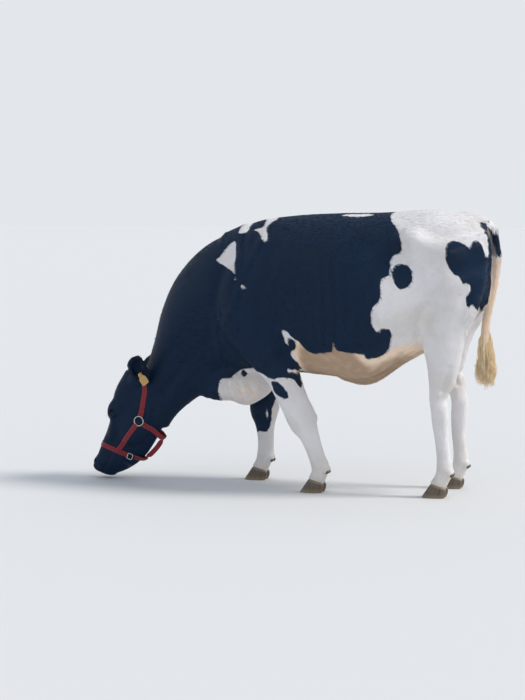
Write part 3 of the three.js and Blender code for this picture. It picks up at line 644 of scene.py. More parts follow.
def body_strokes() -> list[Stroke]:
    """Bones, tendons and folds that show through the skin, as ridges and grooves."""
    found: list[Stroke] = []

    def both(radius: float, height: float, *rows: Sequence[float]) -> None:
        """The same stroke on each side."""
        found.extend(Stroke(np.array(rows, float) * [1, side, 1], radius, height) for side in SIDES)

    both(34, -11, (-930, 92, 470), (-840, 120, 590), (-740, 150, 680), (-640, 168, 760))  # jugular groove
    both(26, 6, (-900, 105, 560), (-800, 140, 690), (-690, 170, 800))  # neck muscle below the crest
    both(22, 7, (-380, 120, 1290), (-430, 190, 1150), (-480, 226, 1010), (-500, 240, 930))  # blade spine
    both(45, -9, (-330, 190, 1230), (-340, 240, 1080), (-360, 262, 930))  # behind the blade
    both(40, -8, (-540, 150, 1240), (-590, 185, 1080), (-610, 195, 960))  # in front of the blade
    both(34, 10, (-515, 235, 905), (-475, 250, 870))  # point of the shoulder
    both(26, 9, (-300, 245, 700), (-270, 240, 660))  # elbow
    both(30, -8, (-250, 225, 760), (-220, 215, 690))  # behind the elbow
    both(75, -17, (250, 245, 1225), (310, 225, 1215))  # hunger hollow in front of the hook bone
    both(30, 9, (395, 236, 1330), (425, 244, 1318))  # hook bone
    both(40, -8, (480, 235, 1330), (560, 215, 1310))  # between hook and pin
    both(24, 10, (752, 120, 1318), (770, 112, 1296))  # pin bone
    both(34, 8, (590, 262, 1165), (600, 268, 1120))  # thurl
    both(30, 9, (452, 240, 820), (470, 245, 780))  # stifle
    both(26, 9, (455, 235, 790), (400, 225, 740), (330, 205, 690))  # flank fold
    both(30, -7, (520, 262, 960), (470, 255, 880))  # in front of the thigh
    both(36, -7, (700, 240, 1010), (668, 235, 900), (640, 220, 800))  # line between the thigh muscles
    both(20, -9, (722, 50, 1368), (778, 46, 1330), (790, 60, 1290))  # beside the tail head
    for k in range(7):  # ribs
        x = -110 + 58 * k
        both(17, 2.6, (x, 268, 1180), (x + 26, 315, 1040), (x + 40, 322, 900), (x + 38, 290, 770))
    for k in range(3):  # folds at the throat
        x = -965 + 26 * k
        both(9, -3.5, (x, 60, 300 + 22 * k), (x + 4, 92, 380 + 20 * k), (x - 8, 98, 470 + 18 * k))
    for k in range(4):  # folds of the brisket
        x = -650 + 62 * k
        both(12, -4, (x, 80, 540), (x + 22, 78, 480), (x + 34, 40, 425))
    # Head: the bone from the eye to the cheek, the hollow under it, jaw, nose and lips.
    both(13, 5, (-1232, 84, 312), (-1240, 72, 262), (-1248, 64, 220))
    both(18, -5, (-1200, 80, 262), (-1225, 68, 205))
    both(16, -4, (-1262, 52, 300), (-1280, 50, 245))
    both(14, 5, (-1080, 60, 200), (-1030, 72, 300), (-1020, 76, 380))
    both(11, 4, (-1236, 66, 402), (-1205, 84, 424), (-1182, 92, 408))  # rim of bone over the eye
    both(10, -5, (-1216, 96, 325), (-1196, 100, 346))  # below the eye
    both(3.6, -4.6, (-1305, 20, 17), (-1300, 50, 26), (-1284, 58, 60), (-1262, 58, 104), (-1240, 60, 140))
    both(12, 3.4, (-1258, 58, 60), (-1240, 58, 100), (-1222, 60, 140))  # lower lip
    both(7, 3.0, (-1352, 50, 72), (-1350, 60, 92), (-1338, 62, 112))  # rim of the nostril
    found.append(Stroke(np.array([(-1368.0, 0, 96), (-1362, 0, 60), (-1345, 0, 30)]), 4.5, -3.2))
    found.append(Stroke(np.array([(-1270.0, 0, 430), (-1240, 0, 500)]), 22, -4))  # forehead dish
    for part, limb in LEGS.items():
        found += leg_strokes(limb, hind=part in (Part.LEFT_HIND, Part.RIGHT_HIND))
    return found


def leg_strokes(limb: Limb, hind: bool) -> list[Stroke]:
    """Tendons, joints and cannon of one leg, drawn at heights on its spine."""
    rows, _, _, _ = limb.dense()
    order = np.argsort(rows[:, 2])

    def at(z: float, back: float, outward: float) -> list[float]:
        """A place at a height, as shares of the leg's reach back (or front) and half width."""
        x, y, up, down, half = (np.interp(z, rows[order, 2], rows[order, k]) for k in (0, 1, 3, 4, 5))
        return [x + back * (up if back > 0 else down), y + outward * half, z]

    def both(radius: float, height: float, *places: Sequence[float]) -> list[Stroke]:
        """The same stroke on the leg's two faces."""
        return [
            Stroke(np.array([at(z, back, side * out) for z, back, out in places]), radius, height)
            for side in SIDES
        ]

    if hind:
        return [
            *both(13, -9, (660, 0.55, 0.75), (600, 0.52, 0.8), (545, 0.45, 0.85)),  # before the tendon
            *both(12, 5, (520, 0.2, 1.0), (490, 0.0, 1.0), (470, -0.2, 0.95)),  # hock bones
            *both(6.5, -4.0, (430, 0.35, 0.95), (330, 0.3, 0.98), (190, 0.3, 0.98)),  # flexor tendon
            Stroke(np.array([at(575, 0.95, 0), at(548, 1.0, 0)]), 15, 7),  # point of the hock
            *both(10, 4, (150, 0.2, 1.0), (136, 0.0, 1.0)),  # fetlock
        ]
    return [
        *both(20, 5, (590, -0.3, 0.9), (520, -0.3, 0.9)),  # forearm muscle
        *both(12, -4, (540, 0.25, 0.95), (450, 0.3, 0.95)),
        *both(11, 4.5, (390, -0.3, 0.95), (362, -0.2, 1.0)),  # knee bones
        Stroke(np.array([at(392, 0.95, 0.2), at(376, 0.98, 0.2)]), 12, 6),
        *both(6.5, -4.0, (310, 0.35, 0.95), (240, 0.3, 0.98), (175, 0.3, 0.98)),
        *both(10, 4, (142, 0.2, 1.0), (128, 0.0, 1.0)),
    ]


# ---- markings


def sealed_curve(rows: Sequence[Sequence[float]], steps: int = 5) -> Array:
    """A closed smooth outline through corners, each span a cubic cut into steps."""
    ring = np.array(rows, float)
    padded = np.concatenate([ring[-1:], ring, ring[:2]])
    t = np.arange(len(ring) * steps) / steps + 1
    return catmull(padded, t)


def patch_distance(outline: Array, p: Array) -> Array:
    """Distance in the XZ plane to an outline, below zero inside: nearest edge, signed by crossings."""
    a, b = outline, np.roll(outline, -1, axis=0)
    x, z = p[:, 0], p[:, 2]
    best, crossed = np.full(len(p), np.inf), np.zeros(len(p), bool)
    for (ax, az), (bx, bz) in zip(a, b):
        dx, dz = bx - ax, bz - az
        t = np.clip(((x - ax) * dx + (z - az) * dz) / (dx * dx + dz * dz + 1e-9), 0, 1)
        best = np.minimum(best, (x - ax - t * dx) ** 2 + (z - az - t * dz) ** 2)
        if abs(dz) > 1e-9:
            crossed ^= ((az > z) != (bz > z)) & (x < ax + dx * (z - az) / dz)
    return np.where(crossed, -1, 1) * np.sqrt(best)


def on_dock(p: Array) -> Array:
    """Which points lie on the tail: its free part, or its head behind a slanting line."""
    found = np.zeros(len(p), bool)
    near = np.where((p[:, 0] > 710) & (np.abs(p[:, 1]) < 60) & (p[:, 2] < 1385))[0]
    own = p[near]
    head = (TAIL_HEAD.distance(own) < 14) & (np.abs(own[:, 1]) < 58)
    found[near] = (DOCK.distance(own) < 10) | (head & (own[:, 0] > 728 + 0.59 * (1376 - own[:, 2])))
    return found


@dataclass(frozen=True)
class Markings:
    """Where the coat is black: outlines in (x, z) for each side, joined along the back."""

    left_black: tuple = (
        (
            (285, 1560), (288, 1420), (325, 1367), (366, 1318), (376, 1240), (331, 1205), (324, 1121),
            (288, 1094), (287, 1002), (250, 957), (246, 884), (271, 840), (303, 857), (338, 838), (317, 754),
            (273, 713), (209, 697), (198, 722), (121, 728), (60, 742), (47, 778), (34, 733), (-13, 726),
            (-65, 718), (-99, 728), (-128, 755), (-150, 780), (-188, 803), (-209, 828), (-240, 832),
            (-228, 800), (-226, 771), (-208, 763), (-206, 788), (-193, 796), (-168, 780), (-166, 757),
            (-165, 741), (-192, 726), (-201, 707), (-189, 683), (-172, 668), (-164, 642), (-160, 600),
            (-150, 560), (-148, 537), (-167, 556), (-190, 582), (-241, 592), (-300, 580), (-352, 604),
            (-420, 622), (-518, 606), (-568, 566), (-622, 556), (-640, 500), (-646, 440), (-700, 380),
            (-900, 60), (-1460, -40), (-1460, 900), (-900, 1500), (-300, 1600),
        ),
        ((340, 1146), (369, 1176), (418, 1167), (440, 1122), (431, 1077), (393, 1052), (354, 1077)),
        (
            (607, 1271), (620, 1286), (648, 1290), (674, 1281), (698, 1270), (714, 1256), (722, 1281),
            (736, 1295), (758, 1283), (800, 1274), (900, 1270), (900, 944), (800, 942), (766, 945),
            (752, 950), (744, 966), (733, 980), (720, 962), (707, 978), (704, 1000), (711, 1025),
            (728, 1048), (724, 1072), (706, 1086), (691, 1077), (676, 1112), (652, 1124), (627, 1153),
            (606, 1195), (603, 1234),
        ),
        ((738, 1382), (742, 1368), (754, 1350), (774, 1330), (800, 1320), (820, 1340), (800, 1386)),
        ((-302, 563), (-263, 566), (-229, 536), (-207, 502), (-212, 482), (-247, 487), (-284, 509)),
        ((-500, 606), (-478, 590), (-494, 570), (-516, 584)),
    )
    left_white: tuple = (
        (
            (-541, 1280), (-612, 1196), (-622, 1178), (-560, 1146), (-514, 1122), (-500, 1086), (-512, 1150),
            (-516, 1208),
        ),
        ((-466, 1058), (-452, 1062), (-446, 1050), (-458, 1042)),
        ((-521, 1320), (-522, 1352), (-500, 1400), (-466, 1400), (-474, 1338), (-492, 1322)),
        (
            (-440, 1337), (-407, 1349), (-388, 1366), (-384, 1440), (-322, 1440), (-326, 1402), (-340, 1384),
            (-362, 1368), (-370, 1342), (-350, 1296), (-362, 1278), (-378, 1285), (-399, 1318), (-421, 1330),
        ),
        ((30, 1414), (80, 1420), (150, 1422), (186, 1416), (140, 1408), (80, 1408)),
        ((-214, 637), (-197, 629), (-180, 632), (-169, 611), (-190, 620), (-209, 620)),
    )
    right_black: tuple = (
        (
            (285, 1560), (286, 1420), (300, 1350), (252, 1280), (190, 1230), (206, 1120), (262, 1020),
            (250, 900), (180, 800), (96, 742), (0, 716), (-84, 721), (-142, 760), (-200, 800), (-262, 760),
            (-300, 700), (-330, 600), (-372, 480), (-404, 400), (-412, 330), (-430, 272), (-450, 260),
            (-476, 266), (-500, 254), (-545, 268), (-580, 400), (-646, 440), (-700, 380), (-900, 60),
            (-1460, -40), (-1460, 900), (-900, 1500), (-300, 1600),
        ),
        (
            (470, 1330), (560, 1352), (640, 1300), (664, 1190), (640, 1080), (560, 1030), (486, 1090),
            (452, 1220),
        ),
        ((360, 980), (400, 1000), (424, 950), (392, 910), (352, 930)),
    )
    # Seen from behind, in (y, z): the left buttock is black up to the tail, and the right one has a spot.
    rear_black: tuple = (
        (
            (-340, 1296), (-240, 1296), (-178, 1290), (-167, 1266), (-161, 1234), (-153, 1213), (-145, 1215),
            (-141, 1242), (-139, 1272), (-128, 1306), (-100, 1326), (-73, 1345), (-64, 1372), (-44, 1392),
            (-16, 1390), (-12, 1300), (-12, 1200), (-14, 1130), (-6, 1090), (-14, 1030), (-6, 960),
            (-12, 890), (-36, 850), (-62, 856), (-84, 892), (-104, 934), (-126, 946), (-150, 944),
            (-200, 958), (-340, 960),
        ),
        ((66, 1046), (92, 1062), (120, 1044), (126, 1004), (104, 962), (84, 940), (70, 966), (60, 1006)),
    )
    right_white: tuple = (
        ((-150, 1150), (-80, 1230), (-20, 1160), (-60, 1040), (-130, 1020)),
        ((-520, 1320), (-520, 1400), (-478, 1400), (-476, 1336), (-502, 1330)),
        ((-410, 1372), (-400, 1420), (-345, 1420), (-350, 1366), (-380, 1350)),
        ((-436, 384), (-430, 388), (-426, 352), (-430, 328), (-436, 345)),
    )

    def side(self, p: Array, black: tuple, white: tuple) -> Array:
        """Signed distance to one side's black coat."""
        found = np.full(len(p), 1e3)
        for rows in black:
            found = np.minimum(found, patch_distance(sealed_curve(rows), p))
        for rows in white:
            found = np.maximum(found, -patch_distance(sealed_curve(rows), p))
        return found

    def black(self, p: Array) -> Array:
        """Signed distance in mm to the black coat, below zero inside it."""
        left = self.side(p, self.left_black, self.left_white)
        right = self.side(p, self.right_black, self.right_white)
        share = ease(-45, 45, p[:, 1])
        found = left * (1 - share) + right * share
        behind = columns(p[:, 1], 0 * p[:, 1], p[:, 2])
        rear = ease(0, 30, p[:, 0] - 752 + 0.3 * np.clip(1000 - p[:, 2], 0, 200))
        found = found * (1 - rear) + self.side(behind, self.rear_black, ()) * rear
        found = found + 3.2 * ripple(p, 38) + 1.6 * ripple(p, 15, 2.0)
        return np.where(on_dock(p), self.dock(p), found)

    def dock(self, p: Array) -> Array:
        """Signed distance to the tail's dark top: above a ring, under a slanting line."""
        ring = 1228 - p[:, 2] + 6 * ripple(p, 20, 3.0)
        return np.maximum(ring, p[:, 2] - 1379 + 0.50 * (p[:, 0] - 728) + 5 * ripple(p, 26, 1.0))

    def warm(self, p: Array) -> Array:
        """How tan the coat is, 0 to 1: thin hair on the belly and groin, painted shade on the belly and
        brisket, painted warm light on the tail.
        """
        x, y, z = p.T
        # Belly: thin tan hair, its band reaching up further as painted shade under the belly.
        top = 760 - 130 * ease(100, 240, x) + 0.5 * np.clip(x - 200, 0, 300)
        belly = (1 - ease(-30, 90, z - top)) * ease(-210, -130, x) * (1 - ease(330, 520, x))
        belly = belly * ease(545, 590, z + 0.25 * (x + 150))
        groin = bell(p, (500, 0, 770), (110, 80, 90))
        # Brisket: a faint tint that is painted shade.
        brisket = 0.2 * bell(p, (-480, 0, 495), (140, FAR, 95))
        # Tail below its dark top: the cream hair warmed as painted warm sunlight.
        dock = on_dock(p) * (0.34 + 0.14 * ease(1150, 900, z)) * ease(1232, 1195, z)
        return np.clip(belly * 0.95 + 0.8 * groin + brisket + dock + 0.10 * ripple(p, 60), 0, 1)

    def soil(self, p: Array) -> Array:
        """Dust and stain, from 0 to 1: hocks, stifle and feet, and a dusty band with painted sheen on the
        tail's dark top.
        """
        x, y, z = p.T
        low = 0.55 * (1 - ease(60, 330, z))
        hock = 0.5 * bell(p, (0, 0, 530), (FAR, FAR, 80)) * ease(520, 620, x)
        stifle = 0.5 * bell(p, (500, 0, 880), (120, FAR, 120))
        found = (low + hock + stifle) * (0.75 + 0.5 * ripple(p, 90, 1.0))
        # A grey-brown band down the middle of the tail's dark top: dusty hair with painted sheen.
        dust_and_sheen = on_dock(p) * (self.dock(p) < 0) * ease(30, 12, np.abs(x - 788 + 0.34 * (z - 1270)))
        return np.clip(found + dust_and_sheen, 0, 1)


# ---- skin


def graded_axis(spans: Sequence[tuple[float, float]]) -> Array:
    """Places along an axis: each (end, step) span carries on from the last at about its step."""
    places = [np.array([spans[0][0]])]
    for (start, _), (end, step) in zip(spans[:-1], spans[1:]):
        count = max(1, round((end - start) / step))
        places.append(start + (end - start) * np.arange(1, count + 1) / count)
    return np.concatenate(places)


def surface_net(axes: Sequence[Array], values: Array) -> Pair:
    """Quads round the zero level of values on a grid.

    Each crossed cell gets one vertex, the mean of its edges' crossings; each crossed edge joins the
    vertices of the four cells round it, turned so that the face looks out.
    """
    shape = np.array(values.shape)
    cells, places, quads = [], [], []
    for axis in range(3):
        crossed = np.argwhere(np.diff(values < 0, axis=axis))
        other = [(axis + 1) % 3, (axis + 2) % 3]
        crossed = crossed[((crossed > 0) & (crossed < shape - 1))[:, other].all(axis=1)]
        a, b = values[tuple(crossed.T)], values[tuple((crossed + np.eye(3, dtype=int)[axis]).T)]
        where = np.stack([axes[k][crossed[:, k]] for k in range(3)], axis=1)
        where[:, axis] += (axes[axis][crossed[:, axis] + 1] - axes[axis][crossed[:, axis]]) * a / (a - b)
        ring = []
        for back in ((1, 1), (0, 1), (0, 0), (1, 0)):
            cell = crossed.copy()
            cell[:, other] -= back
            ring.append(np.ravel_multi_index(tuple(cell.T), tuple(shape)))
        ring = np.stack(ring, axis=1)
        quads.append(np.where((a < 0)[:, None], ring, ring[:, ::-1]))
        cells.append(ring.ravel())
        places.append(np.repeat(where, 4, axis=0))
    cells, places, quads = np.concatenate(cells), np.concatenate(places), np.concatenate(quads)
    names, number = np.unique(cells, return_inverse=True)
    count = np.bincount(number)
    points = np.stack([np.bincount(number, places[:, k]) / count for k in range(3)], axis=1)
    return points, np.searchsorted(names, quads)


def smoothed(points: Array, faces: Array, share: float) -> Array:
    """Each vertex moved a share of the way to the mean of its neighbours.

    Args:
        points: the vertices.
        faces: the quads that join them.
        share: the share of the way.
    """
    a, b = faces.ravel(), np.roll(faces, -1, axis=1).ravel()
    ends, others = np.concatenate([a, b]), np.concatenate([b, a])
    total = columns(*(np.bincount(ends, points[others, k]) for k in range(3)))
    return points + share * (total / np.bincount(ends)[:, None] - points)


@dataclass
class Skin:
    """The one skin: the zero level of the flesh's field, with bones and folds drawn on it."""

    flesh: Flesh
    head_step: float = 4.0
    body_step: float = 14.0
    points: Array = field(init=False)
    faces: Array = field(init=False)
    normals: Array = field(init=False)

    def axes(self) -> tuple[Array, Array, Array]:
        """Grid planes, close together at the head, the feet and the middle."""
        fine, wide = self.head_step, self.body_step
        x = graded_axis(((-1380, 0), (-1075, fine), (-1010, 7), (880, wide)))
        side = graded_axis(((0, 0), (108, fine), (150, 7), (352, 12)))
        z = graded_axis(((4, 0), (120, fine), (440, 4.8), (600, 7), (1470, wide)))
        return x, np.concatenate([-side[:0:-1], side]), z

    def __post_init__(self) -> None:
        """Finds the surface, evens it and settles it on the field's zero level with its relief."""
        axes = self.axes()
        plane = np.stack(np.meshgrid(*axes[1:], indexing="ij"), axis=-1)
        flat = plane.reshape(-1, 2)
        rows = [self.flesh.value(np.column_stack([np.full(len(flat), x), flat])) for x in axes[0]]
        points, faces = surface_net(axes, np.stack(rows).reshape(-1, *plane.shape[:2]))
        for _ in range(2):
            points, _ = self.flesh.laid(smoothed(points, faces, 0.5), 0.0, 1)
        normals = unit(self.flesh.gradient(points))
        points += normals * sum(stroke.rise(points) for stroke in body_strokes())[:, None]
        self.points, self.faces, self.normals = points, faces, mesh_normals(points, faces)
        log.info("skin of %s vertices, %s quads", len(points), len(faces))


def mesh_normals(points: Array, faces: Array) -> Array:
    """Vertex normals: the sum of the crossed diagonals of the quads round each vertex."""
    across = np.repeat(diagonals(points, faces), 4, axis=0)
    total = [np.bincount(faces.ravel(), across[:, k], minlength=len(points)) for k in range(3)]
    return unit(columns(*total))


# ---- combing and unwrapping

# Each part's corner and far corner on the flat layout of the skin.
ATLAS = {
    Part.TRUNK: (0.01, 0.01, 0.66, 0.55),
    Part.NECK: (0.68, 0.01, 0.99, 0.35),
    Part.HEAD: (0.68, 0.37, 0.99, 0.75),
    **{part: (0.01 + 0.165 * k, 0.57, 0.165 + 0.165 * k, 0.98) for k, part in enumerate(LEGS)},
    Part.TAIL: (0.68, 0.77, 0.80, 0.98),
}
EAR_ATLAS = {-1: (0.82, 0.77, 0.90, 0.98), 1: (0.91, 0.77, 0.99, 0.98)}
SHORT_TUFTS, LONG_TUFTS, EAR_TUFTS, COAT_PIECES = 264000, 17000, 3600, 6


@dataclass
class Comb:
    """How the hair lies on each part: its direction, length and place on the flat layout."""

    markings: Markings

    def traits(self, p: Array) -> dict[str, Array]:
        """What the finish reads at each point: black or white, tan with painted shade and light, dust with
        painted sheen, bare.
        """
        m = self.markings
        return {"marking": m.black(p), "warm": m.warm(p), "soil": m.soil(p), "bare": self.bare(p)}

    def part_distances(self, p: Array) -> Array:
        """Each main limb's field at the points, one column a part."""
        out = np.full((len(p), len(Part)), 400.0)
        for part, limb in MAIN_LIMBS.items():
            low, high = limb.box(90)
            near = np.all((p > low) & (p < high), axis=1)
            if near.any():
                out[near, part] = limb.distance(p[near])
        return out

    def nearness(self, distances: Array, reach: float) -> Array:
        """1 for the nearest part and exp(-gap / reach) for one that lies further by a gap."""
        return np.exp(-np.clip(distances - distances.min(axis=1, keepdims=True), 0, 400) / reach)

    def direction(self, p: Array, normals: Array, distances: Array) -> Array:
        """Unit directions along the skin: back and down the body, down the legs and the face.

        Args:
            p: points on the skin.
            normals: the skin's directions out there.
            distances: each main part's field there.
        """
        x, y, z = p.T
        flows = np.zeros((len(Part), len(p), 3))
        height = ease(1400, 1000, z)
        flows[Part.TRUNK] = columns(np.ones_like(x), 0 * y, -0.15 - 0.75 * height)
        flows[Part.NECK] = (0.75, 0, -0.15)
        swirl = np.sign(y) * bell(p, (-1240, 0, 400), (60, 46, 70))
        up = ease(420, 520, z) * ease(-1100, -1200, x)
        back = -0.25 + 0.9 * ease(-1230, -1090, x)
        flows[Part.HEAD] = columns(back, 0.8 * swirl, -0.9 + 1.9 * up)
        flows[list(LEGS)] = (0.22, 0, -1)
        flows[Part.TAIL] = (0, 0, -1)
        flow = (flows * self.nearness(distances, 28).T[:, :, None]).sum(axis=0)
        flow = flow + 0.12 * columns(0 * x, ripple(p, 130), ripple(p, 150, 2.0))
        flow -= normals * dots(flow, normals)[:, None]
        return unit(flow)

    def atlas(self, p: Array, parts: Array) -> Array:
        """Each point's place on the skin's flat layout: along and round its own part."""
        uv = np.zeros((len(p), 2))
        for part, limb in MAIN_LIMBS.items():
            own = parts == part
            if own.any():
                u0, v0, u1, v1 = ATLAS[part]
                uv[own] = np.array([u0, v0]) + limb.unwrap(p[own]) * np.array([u1 - u0, v1 - v0])
        return uv

    def bare(self, p: Array) -> Array:
        """1 on the naked pad of the muzzle, 0 where hair grows."""
        x, y, z = p.T
        pad = ease(-1322, -1334, x) * ease(124, 104, z) * ease(62, 50, np.abs(y))
        under = ease(52, 36, z) * ease(-1286, -1300, x)
        return np.clip(pad + under, 0, 1)

    def length(self, p: Array, distances: Array) -> Array:
        """Hair length in mm: short on the face and lower legs, long on the poll and belly."""
        x, y, z = p.T
        weight = self.nearness(distances, 30)
        weight /= weight.sum(axis=1, keepdims=True)
        found = weight @ np.array([15.0, 15.5, 7.5, 12, 12, 12, 12, 20])
        found -= weight[:, list(LEGS)].sum(axis=1) * (1 - ease(560, 760, z)) * 3.5
        found *= 1 - 0.45 * ease(-1180, -1290, x)
        poll = bell(p, (-1096, 0, 590), (46, 52, 44))
        belly = bell(p, (0, 0, 610), (FAR, FAR, 50)) * (np.abs(y) < 120) * (x > -700)
        return found + 22 * poll + 6 * belly


def clear_of(p: Array, paths: Sequence[Array], reach: Array) -> Array:
    """Which points lie further than their reach from every path.

    Args:
        p: the points.
        paths: each the places along one path.
        reach: one distance a point.
    """
    clear = np.ones(len(p), bool)
    for path in paths:
        near = np.where(np.all((p > path.min(axis=0) - 45) & (p < path.max(axis=0) + 45), axis=1))[0]
        for own in np.array_split(near, len(near) // 8000 + 1):
            gap = np.linalg.norm(p[own, None] - path[None], axis=2).min(axis=1)
            clear[own] &= gap > reach[own]
    return clear


class Coat:
    """The coat as thin solid tufts rooted in the skin."""

    def __init__(self, skin: Skin, comb: Comb, seed: int = 11) -> None:
        """Keeps the skin and the comb, and starts the one seeded source of chance."""
        self.skin, self.comb = skin, comb
        self.chance = np.random.default_rng(seed)

    def roots(self, count: int, weight: Array) -> Pair:
        """Random places on the skin by area times weight of each face, and their normals."""
        p, f, n = self.skin.points, self.skin.faces, self.skin.normals
        area = np.linalg.norm(diagonals(p, f), axis=1) / 2
        corners = f[self.chance.choice(len(f), count, p=area * weight / (area * weight).sum())]
        s, t = self.chance.random((2, count, 1))
        shares = ((1 - s) * (1 - t), s * (1 - t), s * t, (1 - s) * t)
        place, normal = (sum(share * v[corners[:, k]] for k, share in enumerate(shares)) for v in (p, n))
        return place, unit(normal)

    def sown(self, count: int, weight: Array, spread: float, sizes: tuple[float, float]) -> tuple[Array, ...]:
        """Roots, their normals, the combed directions, the lengths, and places on the flat layout.

        Args:
            count: how many tufts.
            weight: how thickly they grow on each face of the skin.
            spread: how far chance turns them off the comb.
            sizes: the least and the greatest share of the comb's length.
        """
        roots, normals = self.roots(count, weight)
        distances = self.comb.part_distances(roots)
        along = self.comb.direction(roots, normals, distances)
        along = unit(along + np.cross(normals, along) * self.chance.normal(0, spread, (count, 1)))
        length = self.comb.length(roots, distances) * self.chance.uniform(*sizes, count)
        return roots, normals, along, length, self.comb.atlas(roots, distances.argmin(axis=1))

    def short_hair(
        self, roots: Array, normals: Array, along: Array, length: Array, width: Array, lift: Array
    ) -> Array:
        """Straight tufts, each a thin pyramid: three root corners, then the tip.

        The tip lies a length away along the comb, raised by the lift; the root corners lie half a width
        to each side, a little in the skin, and a ninth of a width above it.

        Args:
            roots: where the tufts grow.
            normals: the skin's directions out there.
            along: unit directions that they are combed in.
            length: in mm.
            width: in mm at the root.
            lift: how far the tip rises, as a share of the length.
        """
        across = np.cross(normals, along)
        half = (width / 2)[:, None]
        low = roots - normals * (0.30 * half)
        tip = roots + (along + normals * lift[:, None]) * length[:, None]
        return columns(low + across * half, low - across * half, roots + normals * 0.22 * half, tip)

    def long_hair(
        self, roots: Array, normals: Array, along: Array, length: Array, width: Array,
        lift: Array, sway: Array,
    ) -> Array:
        """Bent tufts: two three-sided rings and a tip, at the shares s = 0, 0.5 and 1 of the length.

        Their middles lie at root + (along s + normal lift s (1.25 - 0.55 s) + across sway s^2) length.
        The arguments are those of short hair, and the sway, how far the tip bends aside.
        """
        across = np.cross(normals, along)
        rings = []
        for s, share in ((0.0, 1.0), (0.5, 0.8), (1.0, 0.0)):
            rise, aside = (lift * s * (1.25 - 0.55 * s))[:, None], (sway * s * s)[:, None]
            middle = roots + (along * s + normals * rise + across * aside) * length[:, None]
            half = (width * share / 2)[:, None]
            rings += [middle + across * half, middle - across * half, middle + normals * half * 0.55]
        return columns(*rings[:7])

    def piece(self, name: str, tufts: Array, faces: Array, uv: Array, values: dict[str, Array]) -> Thing:
        """Joins tufts into one mesh, each tuft's map a patch 0.003 across at its root's place.

        Args:
            name: the piece's name.
            tufts: vertices by tuft.
            faces: one tuft's triangles.
            uv: each tuft's place on the flat layout.
            values: numbers by tuft, or by tuft and vertex.
        """
        count, size = tufts.shape[:2]
        faces = (faces[None] + size * np.arange(count)[:, None, None]).reshape(-1, 3)
        patch = 0.0015 * columns(np.cos(circle(size)), np.sin(circle(size)))
        spread = np.clip(uv[:, None] + patch[None], 0, 1).reshape(-1, 2)
        flat = {key: (v if v.ndim == 2 else np.repeat(v, size)).ravel() for key, v in values.items()}
        points = tufts.reshape(-1, 3)
        return make_piece(name, points, faces, "coat", uv=spread, uv_name="OFBake", values=flat, smooth=False)

    def traits(self, p: Array) -> dict[str, Array]:
        """The markings and chances that the finish reads, one number a tuft."""
        return self.comb.traits(p) | {"tuft": self.chance.random(len(p))}


# One tuft's triangles, and the share of its length at each of its vertices.
PYRAMID = np.array([[0, 1, 3], [1, 2, 3], [2, 0, 3], [1, 0, 2]])
PYRAMID_ALONG = (0.0, 0.0, 0.15, 1.0)
BENT_ALONG = (0.0, 0.0, 0.1, 0.5, 0.5, 0.6, 1.0)
BENT = np.array([
    [0, 1, 4], [0, 4, 3], [1, 2, 5], [1, 5, 4], [2, 0, 3], [2, 3, 5], [3, 4, 6], [4, 5, 6], [5, 3, 6],
    [1, 0, 2],
])


def coat_pieces(skin: Skin, markings: Markings, straps: Sequence[Array]) -> list[Thing]:
    """The whole coat: short tufts everywhere, then longer ones on the poll, the belly and the tail.

    Args:
        skin: what the hair grows from.
        markings: the colours that it carries.
        straps: paths that press the hair flat, where none grows.
    """
    comb = Comb(markings)
    coat = Coat(skin, comb)
    chance = coat.chance
    centre = skin.points[skin.faces].mean(axis=1)
    distances = comb.part_distances(centre)
    haired = 1 - comb.bare(centre)
    weight = haired * (15 / np.clip(comb.length(centre, distances), 6, 18)) ** 1.25
    total = SHORT_TUFTS
    roots, normals, along, length, uv = coat.sown(total, weight, 0.08, (0.75, 1.25))
    width = np.clip(0.17 * length, 1.2, 2.6) * chance.uniform(0.7, 1.2, total)
    tufts = coat.short_hair(roots, normals, along, length, width, chance.uniform(-0.01, 0.07, total))
    traits = coat.traits(roots) | {"along": np.tile(PYRAMID_ALONG, (total, 1))}
    order = np.argsort(roots[:, 0])
    order = order[clear_of(roots, straps, 14 + 0.4 * length)[order]]
    made = []
    for k, own in enumerate(np.array_split(order, COAT_PIECES)):
        values = {key: numbers[own] for key, numbers in traits.items()}
        made.append(coat.piece(f"coat_{k + 1}", tufts[own], PYRAMID, uv[own], values))
    # Longer hair: the poll, the edge of the belly and brisket, the dock and the backs of the thighs.
    x, y, z = centre.T
    fringe = 6 * bell(centre, (-1100, 0, 590), (44, 56, 46))
    fringe += 1.1 * bell(centre, (0, 0, 600), (FAR, FAR, 45)) * (np.abs(y) < 120) * (x > -150)
    fringe += 0.9 * bell(centre, (0, 0, 425), (FAR, FAR, 45)) * (np.abs(y) < 90) * (x > -700) * (x < -350)
    fringe += 5.0 * (distances[:, Part.TAIL] < 14)
    fringe += 0.8 * (x > 690) * (z > 720) * (z < 1000)
    count = LONG_TUFTS
    roots, normals, along, length, uv = coat.sown(count, (fringe + 0.04) * haired, 0.16, (1.05, 1.8))
    width = np.clip(0.10 * length, 1.3, 3.0)
    lift, sway = chance.uniform(0.04, 0.20, count), chance.normal(0, 0.14, count)
    tufts = coat.long_hair(roots, normals, along, length, width, lift, sway)
    traits = coat.traits(roots) | {"along": np.tile(BENT_ALONG, (count, 1))}
    own = clear_of(roots, straps, 14 + 0.6 * length)
    traits = {key: numbers[own] for key, numbers in traits.items()}
    return [*made, coat.piece("coat_fringe", tufts[own], BENT, uv[own], traits)]


# ---- ears, eyes and lids


